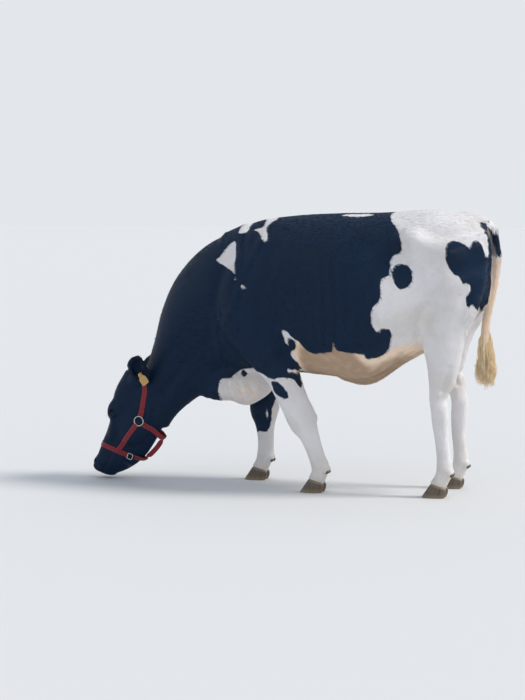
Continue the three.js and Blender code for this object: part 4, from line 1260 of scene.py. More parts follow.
@dataclass(frozen=True)
class Ear:
    """A leaf-shaped cup of gristle and skin."""

    side: int
    root: Triple = (-1080, 84, 532)
    tip: Triple = (-1038, 190, 668)
    half_width: float = 69.0
    thickness: float = 5.5
    cup: float = 30.0

    def frame(self) -> tuple[Array, Array, Array, Array]:
        """The root, the axis to the tip, the direction it opens to, and the direction across it."""
        root = np.array(self.root) * [1, self.side, 1]
        axis = np.array(self.tip) * [1, self.side, 1] - root
        facing = np.array([-0.3, self.side * 0.85, -0.35])
        opening = unit(facing - axis * (facing @ axis) / (axis @ axis))
        return root, axis, opening, unit(np.cross(axis, opening))

    def surface(self, t: Array, angle: Array) -> Array:
        """Points at a share t from root to tip and an angle round the thin section.

        Half width w(t) = W (0.42 + 0.58 sin(pi (0.12 + 0.9 t))), closed by an ellipse past t = 0.8; the
        section bows away from the opening by a parabola of the cup's depth.
        """
        root, axis, opening, across = self.frame()
        half = self.half_width * (0.42 + 0.58 * np.sin(np.pi * np.minimum(1, 0.12 + t * 0.9)))
        reach = np.where(t > 0.8, np.sqrt(np.maximum(0.004, 1 - ((t - 0.8) / 0.205) ** 2)), 1)
        s = np.cos(angle) * half * reach
        bend = self.cup * np.sin(np.pi * (0.3 + 0.6 * t)) * (1 - np.minimum(1, np.abs(s) / half) ** 2)
        curl = 5.0 * np.sin(6 * t + 2 * s / half) * (np.abs(s) / half) ** 2
        thick = np.sin(angle) * self.thickness * (1.7 - t) * (0.4 + 0.6 * reach)
        return root + t[..., None] * axis + s[..., None] * across + (thick - bend + curl)[..., None] * opening

    def shell(self) -> Pair:
        """The closed surface of the ear, as vertices and quads."""
        t, angle = np.meshgrid(np.linspace(-0.06, 0.995, 34), circle(40), indexing="ij")
        points, faces = closed_tube(self.surface(t, angle))
        volume = dots(points[faces[:, 0]] + points[faces[:, 2]], diagonals(points, faces)).sum()
        return points, faces[:, ::-1] if volume < 0 else faces

    def hair(self, coat: Coat, count: int) -> Pair:
        """Tufts of one ear, short outside and long across the cup, and their map."""
        chance = coat.chance
        t = chance.random(count) ** 0.9 * 0.97
        angle = chance.random(count) * 2 * np.pi
        step = 1e-3
        place = self.surface(t, angle)
        down = unit(self.surface(t + step, angle) - place)
        round_ = unit(self.surface(t, angle + step) - place)
        normal = unit(np.cross(round_, down))
        opening = self.frame()[2]
        middle = self.surface(t, np.full(count, np.pi / 2))
        inner = np.sin(angle) > 0
        outward = np.where(inner, 1, -1)[:, None] * opening
        normal = np.where((dots(normal, outward) < 0)[:, None], -normal, normal)
        rim = np.abs(np.cos(angle)) ** 3
        to_middle = unit(middle - place + 1e-6)
        along = unit(down + to_middle * np.where(inner, 1.1 * rim, 0.0)[:, None])
        along = unit(along + np.cross(normal, along) * chance.normal(0, 0.15, (count, 1)))
        length = np.where(inner, 13 + 17 * rim, 10 + 8 * rim) * chance.uniform(0.7, 1.2, count)
        lift = np.where(inner, 0.25 + 0.2 * rim, 0.10)
        width = np.clip(0.11 * length, 1.2, 2.6)
        tufts = coat.long_hair(place, normal, along, length, width, lift, chance.normal(0, 0.12, count))
        u0, v0, u1, v1 = EAR_ATLAS[self.side]
        uv = columns(u0 + (u1 - u0) * angle / (2 * np.pi), v0 + (v1 - v0) * t)
        return tufts, uv


@dataclass(frozen=True)
class Eye:
    """An eyeball with a slight cornea, and the ring of lid round it."""

    side: int
    flesh: Flesh
    half_slit: float = 20.0
    upper: float = 12.5
    lower: float = 9.5

    def centre(self) -> Array:
        """The middle of the eyeball."""
        return np.array(EYE_CENTRE) * [1, self.side, 1]

    def ball(self) -> Thing:
        """A sphere that bulges by 5% over the cornea, mapped across the slit in mm."""
        slit, brow, out = eye_axes(self.side)
        theta, phi = np.meshgrid(np.linspace(0.02, np.pi - 0.02, 34), circle(48), indexing="ij")
        radius = EYE_RADIUS * (0.985 + 0.05 * np.exp(-((theta / 0.55) ** 2)))
        a, b = radius * np.sin(theta) * np.cos(phi), radius * np.sin(theta) * np.sin(phi)
        c = radius * np.cos(theta)
        rings = self.centre() + a[..., None] * slit + b[..., None] * brow + c[..., None] * out
        points, faces = solid(rings)
        local = points - self.centre()
        uv = columns(local @ slit, local @ brow) / 40 + 0.5
        name = SIDES[self.side]
        return make_piece(f"eyeball_{name}", points, faces, "eye", [f"eye_{name}"], uv=uv)

    def lid(self) -> Pair:
        """The lids as one ring: from the almond opening on the ball out to the skin.

        At share r outwards the ring's half axes grow to 39 by 31 mm; its height blends from a sphere
        1.5 mm and more over the ball to the skin, with creases, and stays 1.8 mm clear of the ball.
        """
        slit, brow, out = eye_axes(self.side)
        phi = circle(64)
        c, s = np.cos(phi), np.sin(phi)
        share = [0.0, 0.0, *np.linspace(0.03, 1, 15)]
        height = np.where(s > 0, self.upper, self.lower)
        rows = []
        for i, r in enumerate(share):
            a = c * (self.half_slit + r * 19)
            b = s * np.abs(s) ** (0.25 * (1 - r)) * (height + r * (31 - height))
            radius = EYE_RADIUS + (-0.4 if i == 0 else 1.5 + 1.2 * math.sin(math.pi * min(1, r * 2.2)))
            ball = np.sqrt(np.maximum(radius**2 - a * a - b * b, 16))
            flat = self.centre() + a[:, None] * slit + b[:, None] * brow
            on_ball = flat + ball[:, None] * out
            if r < 0.2:
                rows.append(on_ball)
                continue
            on_skin, _ = self.flesh.laid(flat + 20 * out, -2.5 + 2.0 * (1 - r), 4)
            weight = ease(0.12, 0.86, r)
            crease = -1.6 * math.exp(-(((r - 0.42) / 0.10) ** 2)) * np.maximum(s, 0) ** 0.5
            crease += -0.8 * math.exp(-(((r - 0.36) / 0.07) ** 2)) * np.maximum(-s, 0) ** 0.5
            crease += 1.4 * math.exp(-(((r - 0.24) / 0.10) ** 2))
            row = on_ball * (1 - weight) + on_skin * weight + crease[:, None] * out - self.centre()
            reach = np.linalg.norm(row, axis=1, keepdims=True)
            rows.append(self.centre() + row * np.maximum(1, (EYE_RADIUS + 1.8) / reach))
        rings = np.stack(rows)
        points = rings.reshape(-1, 3)
        faces = grid_faces(len(share), 64, closed_columns=True)
        return points, faces if (diagonals(points, faces) @ out).sum() > 0 else faces[:, ::-1]

    def lashes(self, coat: Coat, count: int = 90) -> Pair:
        """Thin hairs that fan out from the lid's edge, longest on the upper lid."""
        slit, brow, out = eye_axes(self.side)
        chance = coat.chance
        upper = chance.random(count) < 0.75
        phi = np.where(upper, chance.uniform(0.12, 0.88, count), chance.uniform(1.2, 1.8, count)) * np.pi
        c, s = np.cos(phi), np.sin(phi)
        a, b = c * (self.half_slit + 0.4), s * np.where(upper, self.upper + 0.8, self.lower + 0.8)
        high = np.sqrt(np.maximum((EYE_RADIUS + 2.2) ** 2 - a * a - b * b, 4))
        root = self.centre() + a[:, None] * slit + b[:, None] * brow + high[:, None] * out
        along = unit(out * 1.0 + brow * (np.where(upper, 0.30, -0.5))[:, None] + slit * (0.9 * c)[:, None])
        normal = unit(brow[None] * np.where(upper, 1.0, -1.0)[:, None] - along * (along @ brow)[:, None])
        length = np.where(upper, 17, 8) * chance.uniform(0.7, 1.1, count)
        width, lift = np.full(count, 0.8), np.full(count, -0.35)
        return coat.long_hair(root, normal, along, length, width, lift, 0.2 * c), root


# ---- horn


@dataclass(frozen=True)
class Hoof:
    """The two claws and two dewclaws of one leg."""

    part: Part
    length: float = 118.0
    width: float = 47.0
    height: float = 68.0
    heel: float = 44.0
    apart: float = 25.5

    def claw(self, side: int) -> tuple[Array, Array, Array]:
        """One claw: a sole like half a pointed oval, under a wall that leans back as it rises.

        With c along and s across, the sole is (|c|^0.85, |s|^0.9 (1 - 0.34 toe^1.6)), flatter towards the
        other claw and hooked 5 mm in at the toe. The wall leans by 0.62 of its height at the toe and
        0.22 at the heel, swells 5 mm over the heel, narrows by a fifth, and rounds in under the hair.
        """
        x, y = LEGS[self.part].rows[-1][:2]
        angle = circle(44)
        c, s = np.cos(angle), np.sin(angle)
        rise = (self.height - self.heel) / self.length
        toe = np.maximum(0, -c)
        levels = ((0, 0.70), (0, 0.93), (0.012, 0.975), (0.05, 1.0), *((k / 12, 1.0) for k in range(1, 12)))
        levels += ((0.96, 0.99), (1.01, 0.965), (1.05, 0.91), (1.08, 0.82), (1.09, 0.7))
        rows, depth = [], []
        for level, inset in levels:
            along = np.sign(c) * np.abs(c) ** 0.85 * self.length / 2 * inset
            top = (self.height + self.heel) / 2 - rise * (along - 10)
            ridge = 1 + 0.010 * math.sin(level * 26) * min(1.0, level * 5)
            half = self.width / 2 * (1 - 0.34 * toe**1.6) * (1 - 0.20 * level) * inset * ridge
            half = half * np.where(s * side > 0, 1.04, 0.80)
            across = y + side * self.apart + np.sign(s) * np.abs(s) ** 0.9 * half - side * 5.0 * toe**2
            lean = self.height * level * (0.42 - 0.20 * c)
            bulb = 5.0 * np.maximum(0, c) ** 2 * math.sin(math.pi * min(1.0, level))
            rows.append(columns(x - 26 + along * (1 - 0.10 * level) + lean + bulb, across, level * top))
            depth.append(np.full(len(angle), level * self.height))
        return *solid(np.stack(rows)), np.concatenate([[0.0], *depth, [self.height]])

    def dewclaw(self, side: int) -> tuple[Array, Array, Array]:
        """A blunt cone behind the fetlock that points down and back."""
        x, y, z, back = LEGS[self.part].rows[-3][:4]
        down, out = np.array([0.55, 0, -0.835]), np.array([0.835, 0, 0.55])
        centre = np.array([x + back - 13, y + side * 20, z - 18])
        angle = circle(24)
        outline = (
            (0.3, -0.50), (0.62, -0.44), (0.86, -0.3), (0.98, -0.1), (1.0, 0.12), (0.93, 0.3), (0.8, 0.42),
        )
        rows = [
            centre
            - down * (along * 34)
            + np.sin(angle)[:, None] * out * radius * 11.5
            + np.cos(angle)[:, None] * np.array([0, 1.0, 0]) * radius * 11.5
            for radius, along in outline
        ]
        points, faces = solid(np.stack(rows))
        return points, faces, (points - centre) @ -down

    def build(self) -> Thing:
        """The four horns of the leg as one piece."""
        shells, depths = [], []
        for side in SIDES:
            for points, faces, depth in (self.claw(side), self.dewclaw(side)):
                shells.append((points, faces))
                depths.append(depth)
        points, faces = merged(shells)
        name = self.part.name.lower()
        nodes = [f"{name}_{kind}_{where}" for kind in ("claw", "dewclaw") for where in ("outer", "inner")]
        values = {"depth": np.concatenate(depths)}
        return make_piece(f"{name}_horn", points, faces, "claw_horn", nodes, values=values)


# ---- tail switch


@dataclass(frozen=True)
class Switch:
    """The long curly hair at the tail's end: a core, and ringlets of many locks round it."""

    ringlets: int = 36
    locks: int = 15
    core: tuple = (
        (850, 763, -12, 24), (800, 765, -12, 30), (750, 767, -12, 34), (700, 768, -11, 42),
        (650, 768, -9, 52), (605, 767, -7, 54), (570, 767, -5, 46), (530, 766, -4, 32),
    )

    def middle(self, z: Array) -> tuple[Array, Array, Array]:
        """The core's place along X and Y and its radius at a height."""
        rows = np.array(self.core)[::-1]
        return tuple(np.interp(z, rows[:, 0], rows[:, k]) for k in (1, 2, 3))

    def heart(self) -> Pair:
        """A spindle inside the hair that closes the gaps between its locks."""
        z = np.linspace(840, 625, 20)
        x, y, r = self.middle(z)
        angle = circle(16)
        ring = columns(np.cos(angle), np.sin(angle), 0 * angle)
        swell = 0.52 - 0.3 * ease(700, 625, z)
        return solid(columns(x, y, z)[:, None] + ring * (swell * r)[:, None, None])

    def build(self, chance: np.random.Generator) -> Thing:
        """Every ringlet runs down a line of the spindle in a coil that widens.

        The coil's radius is A(s) = 1 + 13 s^2 and its turn 2 pi L/105 (0.6 s + 0.6 s^2) for a share s of
        the length L; a lock keeps its own offset from the ringlet's middle, times (1 - s)^0.7.
        """
        steps, sides = 38, 4
        s = np.linspace(0, 1, steps)
        n, m = self.ringlets, self.locks
        phi = np.arange(n) * 2.39996 + chance.normal(0, 0.12, n)
        depth = np.sqrt(chance.uniform(0.25, 1.0, n))
        top = chance.uniform(765, 868, n)
        bottom = 545 + 90 * chance.random(n) ** 1.3 * (0.3 + 0.7 * depth)
        phase, amount = chance.uniform(0, 2 * np.pi, n), chance.uniform(0.7, 1.25, n)

        def each(v: Array, spread: float = 0.0) -> Array:
            """A ringlet's number for all its locks, with a spread of chance."""
            return np.repeat(v, m) + (chance.normal(0, spread, n * m) if spread else 0)

        high, low = each(top, 14.0), each(bottom, 9.0)
        height = high[:, None] + (low - high)[:, None] * s
        cx, cy, cr = self.middle(height)
        turn = each(phase, 0.22)[:, None] + 2 * np.pi * (high - low)[:, None] / 105 * (0.6 * s + 0.6 * s * s)
        coil = (1.0 + 13.0 * s**2) * each(amount, 0.1)[:, None]
        offset = chance.normal(0, 0.5, (2, n * m, 1)) * (1 - s) ** 0.7
        spread = cr * 0.30 + 1.0
        out = cr * (each(depth)[:, None] * 0.86) + coil * np.cos(turn) + offset[0] * spread
        out = out * (0.4 + 0.6 * ease(0, 0.2, s))
        around = each(phi)[:, None] + (coil * np.sin(turn) + offset[1] * spread) / np.maximum(cr, 12)
        height = height + 0.55 * coil * np.sin(turn + 0.8)
        path = np.stack([cx + out * np.cos(around), cy + out * np.sin(around), height], axis=-1)
        tangent = unit(np.gradient(path, axis=1))
        first = unit(np.cross(tangent, [0.3, 0.4, 0.87]))
        second = 0.6 * np.cross(tangent, first)
        taper = np.sqrt(np.clip(1.02 - s, 0.0, 1)) * (0.55 + 0.45 * ease(0, 0.25, s))
        radius = np.maximum(1.9 * chance.uniform(0.7, 1.25, n * m)[:, None] * taper, 0.3)
        c, sn = np.cos(circle(sides))[:, None], np.sin(circle(sides))[:, None]
        section = (first[:, :, None] * c + second[:, :, None] * sn) * radius[:, :, None, None]
        rings = path[:, :, None] + section
        heart = self.heart()
        points, faces = merged([heart, *(solid(lock) for lock in rings)])
        inner, size = len(heart[0]), steps * sides + 2
        shade = np.repeat(np.clip(each(chance.random(n), 0.16), 0, 1), size)
        shade = np.concatenate([np.full(inner, 0.1), shade])
        along = np.tile([0.0, *np.repeat(s, sides), 1.0], n * m)
        along = np.concatenate([np.zeros(inner), along])
        round_ = np.arctan2(points[:, 1] + 10, points[:, 0] - 765) / (2 * np.pi) + 0.5
        uv = columns(0.02 + 0.96 * round_, np.clip((points[:, 2] - 520) / 325, 0.02, 0.98))
        values = {"tuft": shade, "along": along}
        name, nodes = "tail_switch_locks", ["tail_switch"]
        return make_piece(name, points, faces, "switch_hair", nodes, uv=uv, uv_name="OFBake", values=values)


# ---- halter


def sheet_solid(middle: Array, thickness: float) -> tuple[Array, Array, Array]:
    """A band with thickness about a grid of middle points (stations by points across).

    Its two faces lie half a thickness to each side along the crossed steps of the grid, and come
    to under half of that at the edges.

    Args:
        middle: the middle points.
        thickness: the band's whole thickness.

    Returns:
        The vertices, triangles, and a map of (along, across) in millimetres for each vertex.
    """
    normal = unit(np.cross(np.gradient(middle, axis=0), np.gradient(middle, axis=1)))
    half = np.full(middle.shape[1], thickness / 2)
    half[[0, -1]] *= 0.45
    offset = normal * half[:, None]
    rings = np.concatenate([middle + offset, (middle - offset)[:, ::-1]], axis=1)
    along, wide = travelled(middle[:, middle.shape[1] // 2]), travelled(middle[0])
    uv = np.stack(np.broadcast_arrays(along[:, None], np.concatenate([wide, wide[::-1]])), axis=-1)
    uv = np.concatenate([uv[0].mean(0)[None], uv.reshape(-1, 2), uv[-1].mean(0)[None]])
    return *solid(rings), uv


@dataclass
class Halter:
    """Crimson webbing straps laid on the head, two steel rings and two square links."""

    flesh: Flesh
    loose: Flesh
    width: float = 27.0
    thickness: float = 2.6
    lift: float = 2.0
    ring: Spot = (-1072, 323)
    crown_bend: Spot = (-1040, 489)
    crown_top: Spot = (-1078, 680)
    bridge: Spot = (-1302, 190)
    link: Spot = (-1141, 126)
    chin: Spot = (-1040, 96)
    cheek_foot: Spot = (-1216, 146)
    throat: Spot = (-955, 214)
    paths: list[Array] = field(default_factory=list)

    def cast(self, flesh: Flesh, origins: Array, directions: Array, reach: float = 230) -> Array:
        """Where rays from inside the head leave it: the field's sign change, halved down 18 times.

        Args:
            flesh: the head's field.
            origins: where the rays start.
            directions: their unit directions.
            reach: how far out the search goes.
        """
        low, high = np.full(len(origins), 4.0), np.full(len(origins), reach)
        for _ in range(18):
            middle = (low + high) / 2
            inside = flesh.value(origins + directions * middle[:, None]) < 0
            low, high = np.where(inside, middle, low), np.where(inside, high, middle)
        return origins + directions * low[:, None]

    def u_path(
        self, flesh: Flesh, start: Spot, end: Spot, back: float, angle: float, count: int = 61
    ) -> Array:
        """A path round the head in the plane of start, end and Y, from one side to the other.

        Args:
            flesh: the head's field.
            start: where the path's plane begins, in (x, z).
            end: where it points to, in (x, z).
            back: how far from start to end the rays fan out from.
            angle: how many degrees they fan to each side.
            count: how many rays.
        """
        a, b = (np.array([x, 0.0, z]) for x, z in (start, end))
        turn = np.radians(np.linspace(-angle, angle, count))[:, None]
        directions = np.cos(turn) * unit(b - a) + np.sin(turn) * ACROSS
        return self.cast(flesh, np.tile(a + unit(b - a) * back, (count, 1)), directions)

    def side_path(self, end: Spot, side: int, step: float = 5.0) -> Array:
        """A path on one side of the head over the line from the ring to a place in the middle plane."""
        a, b = (np.array([x, 0.0, z]) for x, z in (self.ring, end))
        count = max(3, int(np.linalg.norm(b - a) / step))
        origins = a + np.linspace(0, 1, count)[:, None] * (b - a)
        return self.cast(self.flesh, origins, np.tile(side * ACROSS, (count, 1)))

    def evened(self, path: Array, step: float = 5.0) -> Array:
        """The same path smoothed three times and cut into equal steps."""
        for _ in range(3):
            path[1:-1] = (path[:-2] + 2 * path[1:-1] + path[2:]) / 4
        length = travelled(path)
        places = np.linspace(0, length[-1], max(4, int(length[-1] / step)))
        return np.stack([np.interp(places, length, path[:, k]) for k in range(3)], axis=1)

    def strap(self, flesh: Flesh, path: Array, folds: tuple = (False, False), over: float = 0.0) -> tuple:
        """A band along a path on the skin; a fold turns an end back over the ring or link that it holds.

        At a fold the band comes in on top, passes over the wire and turns in under itself, so its
        height follows a rounded step.

        Args:
            flesh: what it lies on.
            path: its middle line.
            folds: whether its start and its end fold back.
            over: how much of its end lies on another strap, in mm.
        """
        path = self.evened(path)
        _, normal = flesh.laid(path, 0, 1)
        across = unit(np.cross(normal, unit(np.gradient(path, axis=0))))
        width = np.linspace(-1, 1, 7) * self.width / 2
        grid = path[:, None] + across[:, None] * width[None, :, None]
        base, up = (v.reshape(grid.shape) for v in flesh.laid(grid.reshape(-1, 3), 0.0, 3))
        for _ in range(4):
            up[1:-1] = (up[:-2] + up[1:-1] + up[2:]) / 3
        left = 5.0 * np.arange(len(path))[::-1]
        heights = self.lift + (2.9 * ease(over + 12, over, left) if over else 0.0 * left)
        # Heights of the turned-back end, one each 5 mm from the ring out: over the wire, then down.
        turned = self.lift + np.array([10.4, 11.2, 10.2, 7.6, 5.0, 3.6, 3.1, 3.0, 3.0])
        order = np.arange(len(path))
        if folds[0]:
            order, heights = np.r_[order[9:0:-1], order], np.r_[turned[::-1], heights]
        if folds[1]:
            order, heights = np.r_[order, order[-2:-11:-1]], np.r_[heights, turned]
        return sheet_solid(base[order] + unit(up)[order] * heights[:, None, None], self.thickness)

    def ring_shape(self, side: int, square: bool) -> Pair:
        """A torus of round wire in a plane square to Y: the big ring, or a link with four rounded sides."""
        low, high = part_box(f"halter_{'link' if square else 'ring'}_{SIDES[side]}")
        x, z = self.link if square else self.ring
        turn, angle = circle(64), circle(16)
        c, s = np.cos(turn), np.sin(turn)
        size, wire, tilt = 25.0, 3.4, 0.0
        if square:
            size, wire = 14.6 / (np.abs(c) ** 5 + np.abs(s) ** 5) ** 0.2, 2.6
            tilt = math.atan2(self.bridge[1] - z, self.bridge[0] - x)
        dx, dz = size * c, size * s
        across, up = dx * math.cos(tilt) - dz * math.sin(tilt), dx * math.sin(tilt) + dz * math.cos(tilt)
        centre = columns(x + across, np.full(64, (low.y + high.y) / 2 * 1000), z + up)
        outward = np.cross(unit(np.roll(centre, -1, axis=0) - np.roll(centre, 1, axis=0)), ACROSS)
        section = wire * (outward[:, None] * np.cos(angle)[:, None] + ACROSS * np.sin(angle)[:, None])
        points = (centre[:, None] + section).reshape(-1, 3)
        return points, facing_out(points, grid_faces(64, 16, closed_rows=True, closed_columns=True))

    def build(self) -> tuple[list[Thing], list[Thing]]:
        """All straps, then all metal."""
        web: list[Thing] = []

        def sew(name: str, band: tuple) -> None:
            """One strap as a piece with its map."""
            points, faces, uv = band
            web.append(make_piece(f"strap_{name}", points, faces, "webbing", [f"halter_{name}"], uv=uv))

        nose = self.u_path(self.flesh, self.link, self.bridge, 62, 134)
        sew("noseband", self.strap(self.flesh, nose))
        chin = self.u_path(self.loose, self.link, self.chin, 34, 118)
        sew("chin", self.strap(self.loose, chin))
        rises = {side: self.side_path(self.crown_bend, side)[4:-1] for side in SIDES}
        over = self.u_path(self.flesh, self.crown_bend, self.crown_top, 14, 84, 45)
        crown = np.concatenate([rises[-1], over, rises[1][::-1]])
        sew("crown", self.strap(self.flesh, crown, (True, True)))
        throat = self.u_path(self.loose, self.ring, self.throat, 46, 106)
        sew("throat", self.strap(self.loose, throat, (True, True)))
        for side, name in SIDES.items():
            path = self.side_path(self.cheek_foot, side)[4:]
            self.paths.append(path)
            sew(f"cheek_{name}", self.strap(self.flesh, path, (True, False), over=34))
        sew("jaw", self.jaw_strap(chin[len(chin) // 2], throat[len(throat) // 2]))
        self.paths += [nose, chin, crown, throat]
        metal = []
        for square, kind in ((False, "ring"), (True, "link")):
            for side, name in SIDES.items():
                points, faces = self.ring_shape(side, square)
                nodes = [f"halter_{kind}_{name}"]
                metal.append(make_piece(f"{kind}_{name}", points, faces, "ring_steel", nodes))
        return web, metal

    def jaw_strap(self, low: Array, high: Array) -> tuple[Array, Array, Array]:
        """The strap under the jaw, sewn flat under the chin and the throat and turned on edge between.

        Its middle sags 9 mm from the line between its ends; the band's direction turns from Y towards
        the in-plane normal by 88 degrees and back.
        """
        share = np.linspace(0, 1, 46)
        line = unit(high - low)
        below = np.array([line[2], 0, -line[0]])
        path = low + share[:, None] * (high - low) + below * (9 * np.sin(np.pi * share) - 6)[:, None]
        turn = np.radians(88) * ease(0.03, 0.30, share) * ease(0.98, 0.70, share)
        across = np.cos(turn)[:, None] * ACROSS + np.sin(turn)[:, None] * below
        width = np.linspace(-1, 1, 7) * self.width / 2
        return sheet_solid(path[:, None] + across[:, None] * width[None, :, None], self.thickness)


@dataclass(frozen=True)
class EarTag:
    """A soft plastic flag hung on the left ear by a stud, bent back by sag times across squared."""

    sag: float = 0.0022
    outline: tuple = (
        (-9, 11), (0, 12.5), (9, 11), (12, 2), (13, -8), (20, -16), (22, -24), (22, -50), (18, -58),
        (0, -59), (-18, -58), (-22, -50), (-22, -24), (-20, -16), (-13, -8), (-12, 2),
    )

    def axes(self) -> tuple[Array, Array, Array, Array]:
        """The hanging point, then the directions across, up and out of the tag's face."""
        down = unit(np.array([0.6, -0.12, -0.79]))
        normal = square_to(down, [0.05, -0.95, -0.25])
        return np.array([-1040, -144, 573]) + normal * 9, np.cross(-down, normal), -down, normal

    def placed(self, rings: Array) -> Pair:
        """A closed surface over rings of (across, up, out), in the tag's place."""
        origin, across, up, normal = self.axes()
        points, faces = closed_tube(rings)
        points = origin + points @ np.stack([across, up, normal])
        return points, facing_out(points, faces)

    def build(self) -> list[Thing]:
        """The flag with a raised rim, and the stud with its button behind the ear."""
        line = np.array([*self.outline[-1:], *self.outline, *self.outline[:2]], float)
        line = catmull(line, np.arange(128) / 8 + 1)
        middle = np.array([0, -26.0])
        levels = (
            (0, 0.86), (0, 0.97), (0.5, 1.0), (2.1, 1.0), (2.6, 0.97), (2.6, 0.90), (2.1, 0.86), (2.1, 0.5),
        )
        rows = []
        for out, inset in levels:
            flat = middle + (line - middle) * inset
            rows.append(np.column_stack([flat, out - self.sag * flat[:, 0] ** 2]))
        flag = make_piece("ear_tag_flag", *self.placed(np.stack(rows)), "tag_plastic", ["ear_tag"])
        ring = columns(np.cos(circle(32)), np.sin(circle(32)))
        levels = ((4, -16), (4, 2.9), (8.4, 3.2), (9.0, 4.0), (8.6, 5.6), (6.0, 6.9), (2.0, 7.3))
        rings = np.stack([np.column_stack([ring * radius, np.full(32, out)]) for radius, out in levels])
        stud = make_piece("ear_tag_button", *self.placed(rings), "tag_plastic", ["ear_tag_stud"])
        return [flag, stud]


# ---- finishes


RAMP = {"interpolation_type": "SMOOTHSTEP"}
COLOUR = {"data_type": "RGBA"}


def linear(colour: str) -> tuple[float, float, float, float]:
    """An sRGB hex colour as linear numbers with full opacity."""
    channels = [int(colour.lstrip("#")[i : i + 2], 16) / 255 for i in (0, 2, 4)]
    return (*(c / 12.92 if c <= 0.04045 else ((c + 0.055) / 1.055) ** 2.4 for c in channels), 1.0)


def add_node(tree: Tree, kind: str, inputs: dict, out: int | str = 0, **settings: object) -> Socket:
    """Adds one shader node and gives back one of its outputs.

    Args:
        tree: the material's or the world's nodes.
        kind: the node's type, without the words in front that all shader nodes share.
        inputs: plain values, hex colours or other nodes' outputs, by the input's name or place.
        out: the output that is wanted.
        settings: the node's own settings.

    Returns:
        The output, or None from a node that has none.
    """
    node = tree.nodes.new("ShaderNode" + kind)
    for key, value in settings.items():
        setattr(node, key, value)
    for key, value in inputs.items():
        if isinstance(value, Socket):
            tree.links.new(value, node.inputs[key])
        else:
            node.inputs[key].default_value = linear(value) if isinstance(value, str) else value
    return node.outputs[out] if node.outputs else None


@dataclass(frozen=True)
class Finish:
    """A Principled material: its name and the values that are the same all over."""

    name: str
    colour: str = "#d8d9d9"
    roughness: float = 0.6
    metallic: float = 0.0
    ior: float = 1.5
    sheen: float = 0.0
    coat: float = 0.0
    specular: float = 0.5

    def inputs(self, add: Adder) -> dict[str, object]:
        """What the shader reads besides the constant values; a patterned finish adds its nodes here."""
        return {"Base Color": self.colour}

    def layered(self, add: Adder, colour: object, layers: Iterable[tuple]) -> Socket:
        """Lays colours over a first one.

        Args:
            add: what adds a node to the material.
            colour: the colour below.
            layers: each a value, the two levels it rises between, how much it covers there, its colour.
        """
        for value, low, high, most, over in layers:
            share = add("MapRange", {0: value, 1: low, 2: high, 3: 0.0, 4: most}, **RAMP)
            colour = add("Mix", {0: share, 6: colour, 7: over}, 2, **COLOUR)
        return colour

    def dress(self, pieces: Iterable[Thing]) -> None:
        """Makes the material and gives it to every piece."""
        material = bpy.data.materials.new(self.name)
        material.use_nodes = True
        tree = material.node_tree
        tree.nodes.clear()
        constant = {
            "Roughness": self.roughness,
            "Metallic": self.metallic,
            "IOR": self.ior,
            "Specular IOR Level": self.specular,
            "Sheen Weight": self.sheen,
            "Sheen Roughness": 0.45,
            "Coat Weight": self.coat,
            "Coat Roughness": 0.04,
        }
        add = partial(add_node, tree)
        shader = add("BsdfPrincipled", constant | self.inputs(add))
        add("OutputMaterial", {"Surface": shader})
        for piece in pieces:
            piece.data.materials.clear()
            piece.data.materials.append(material)


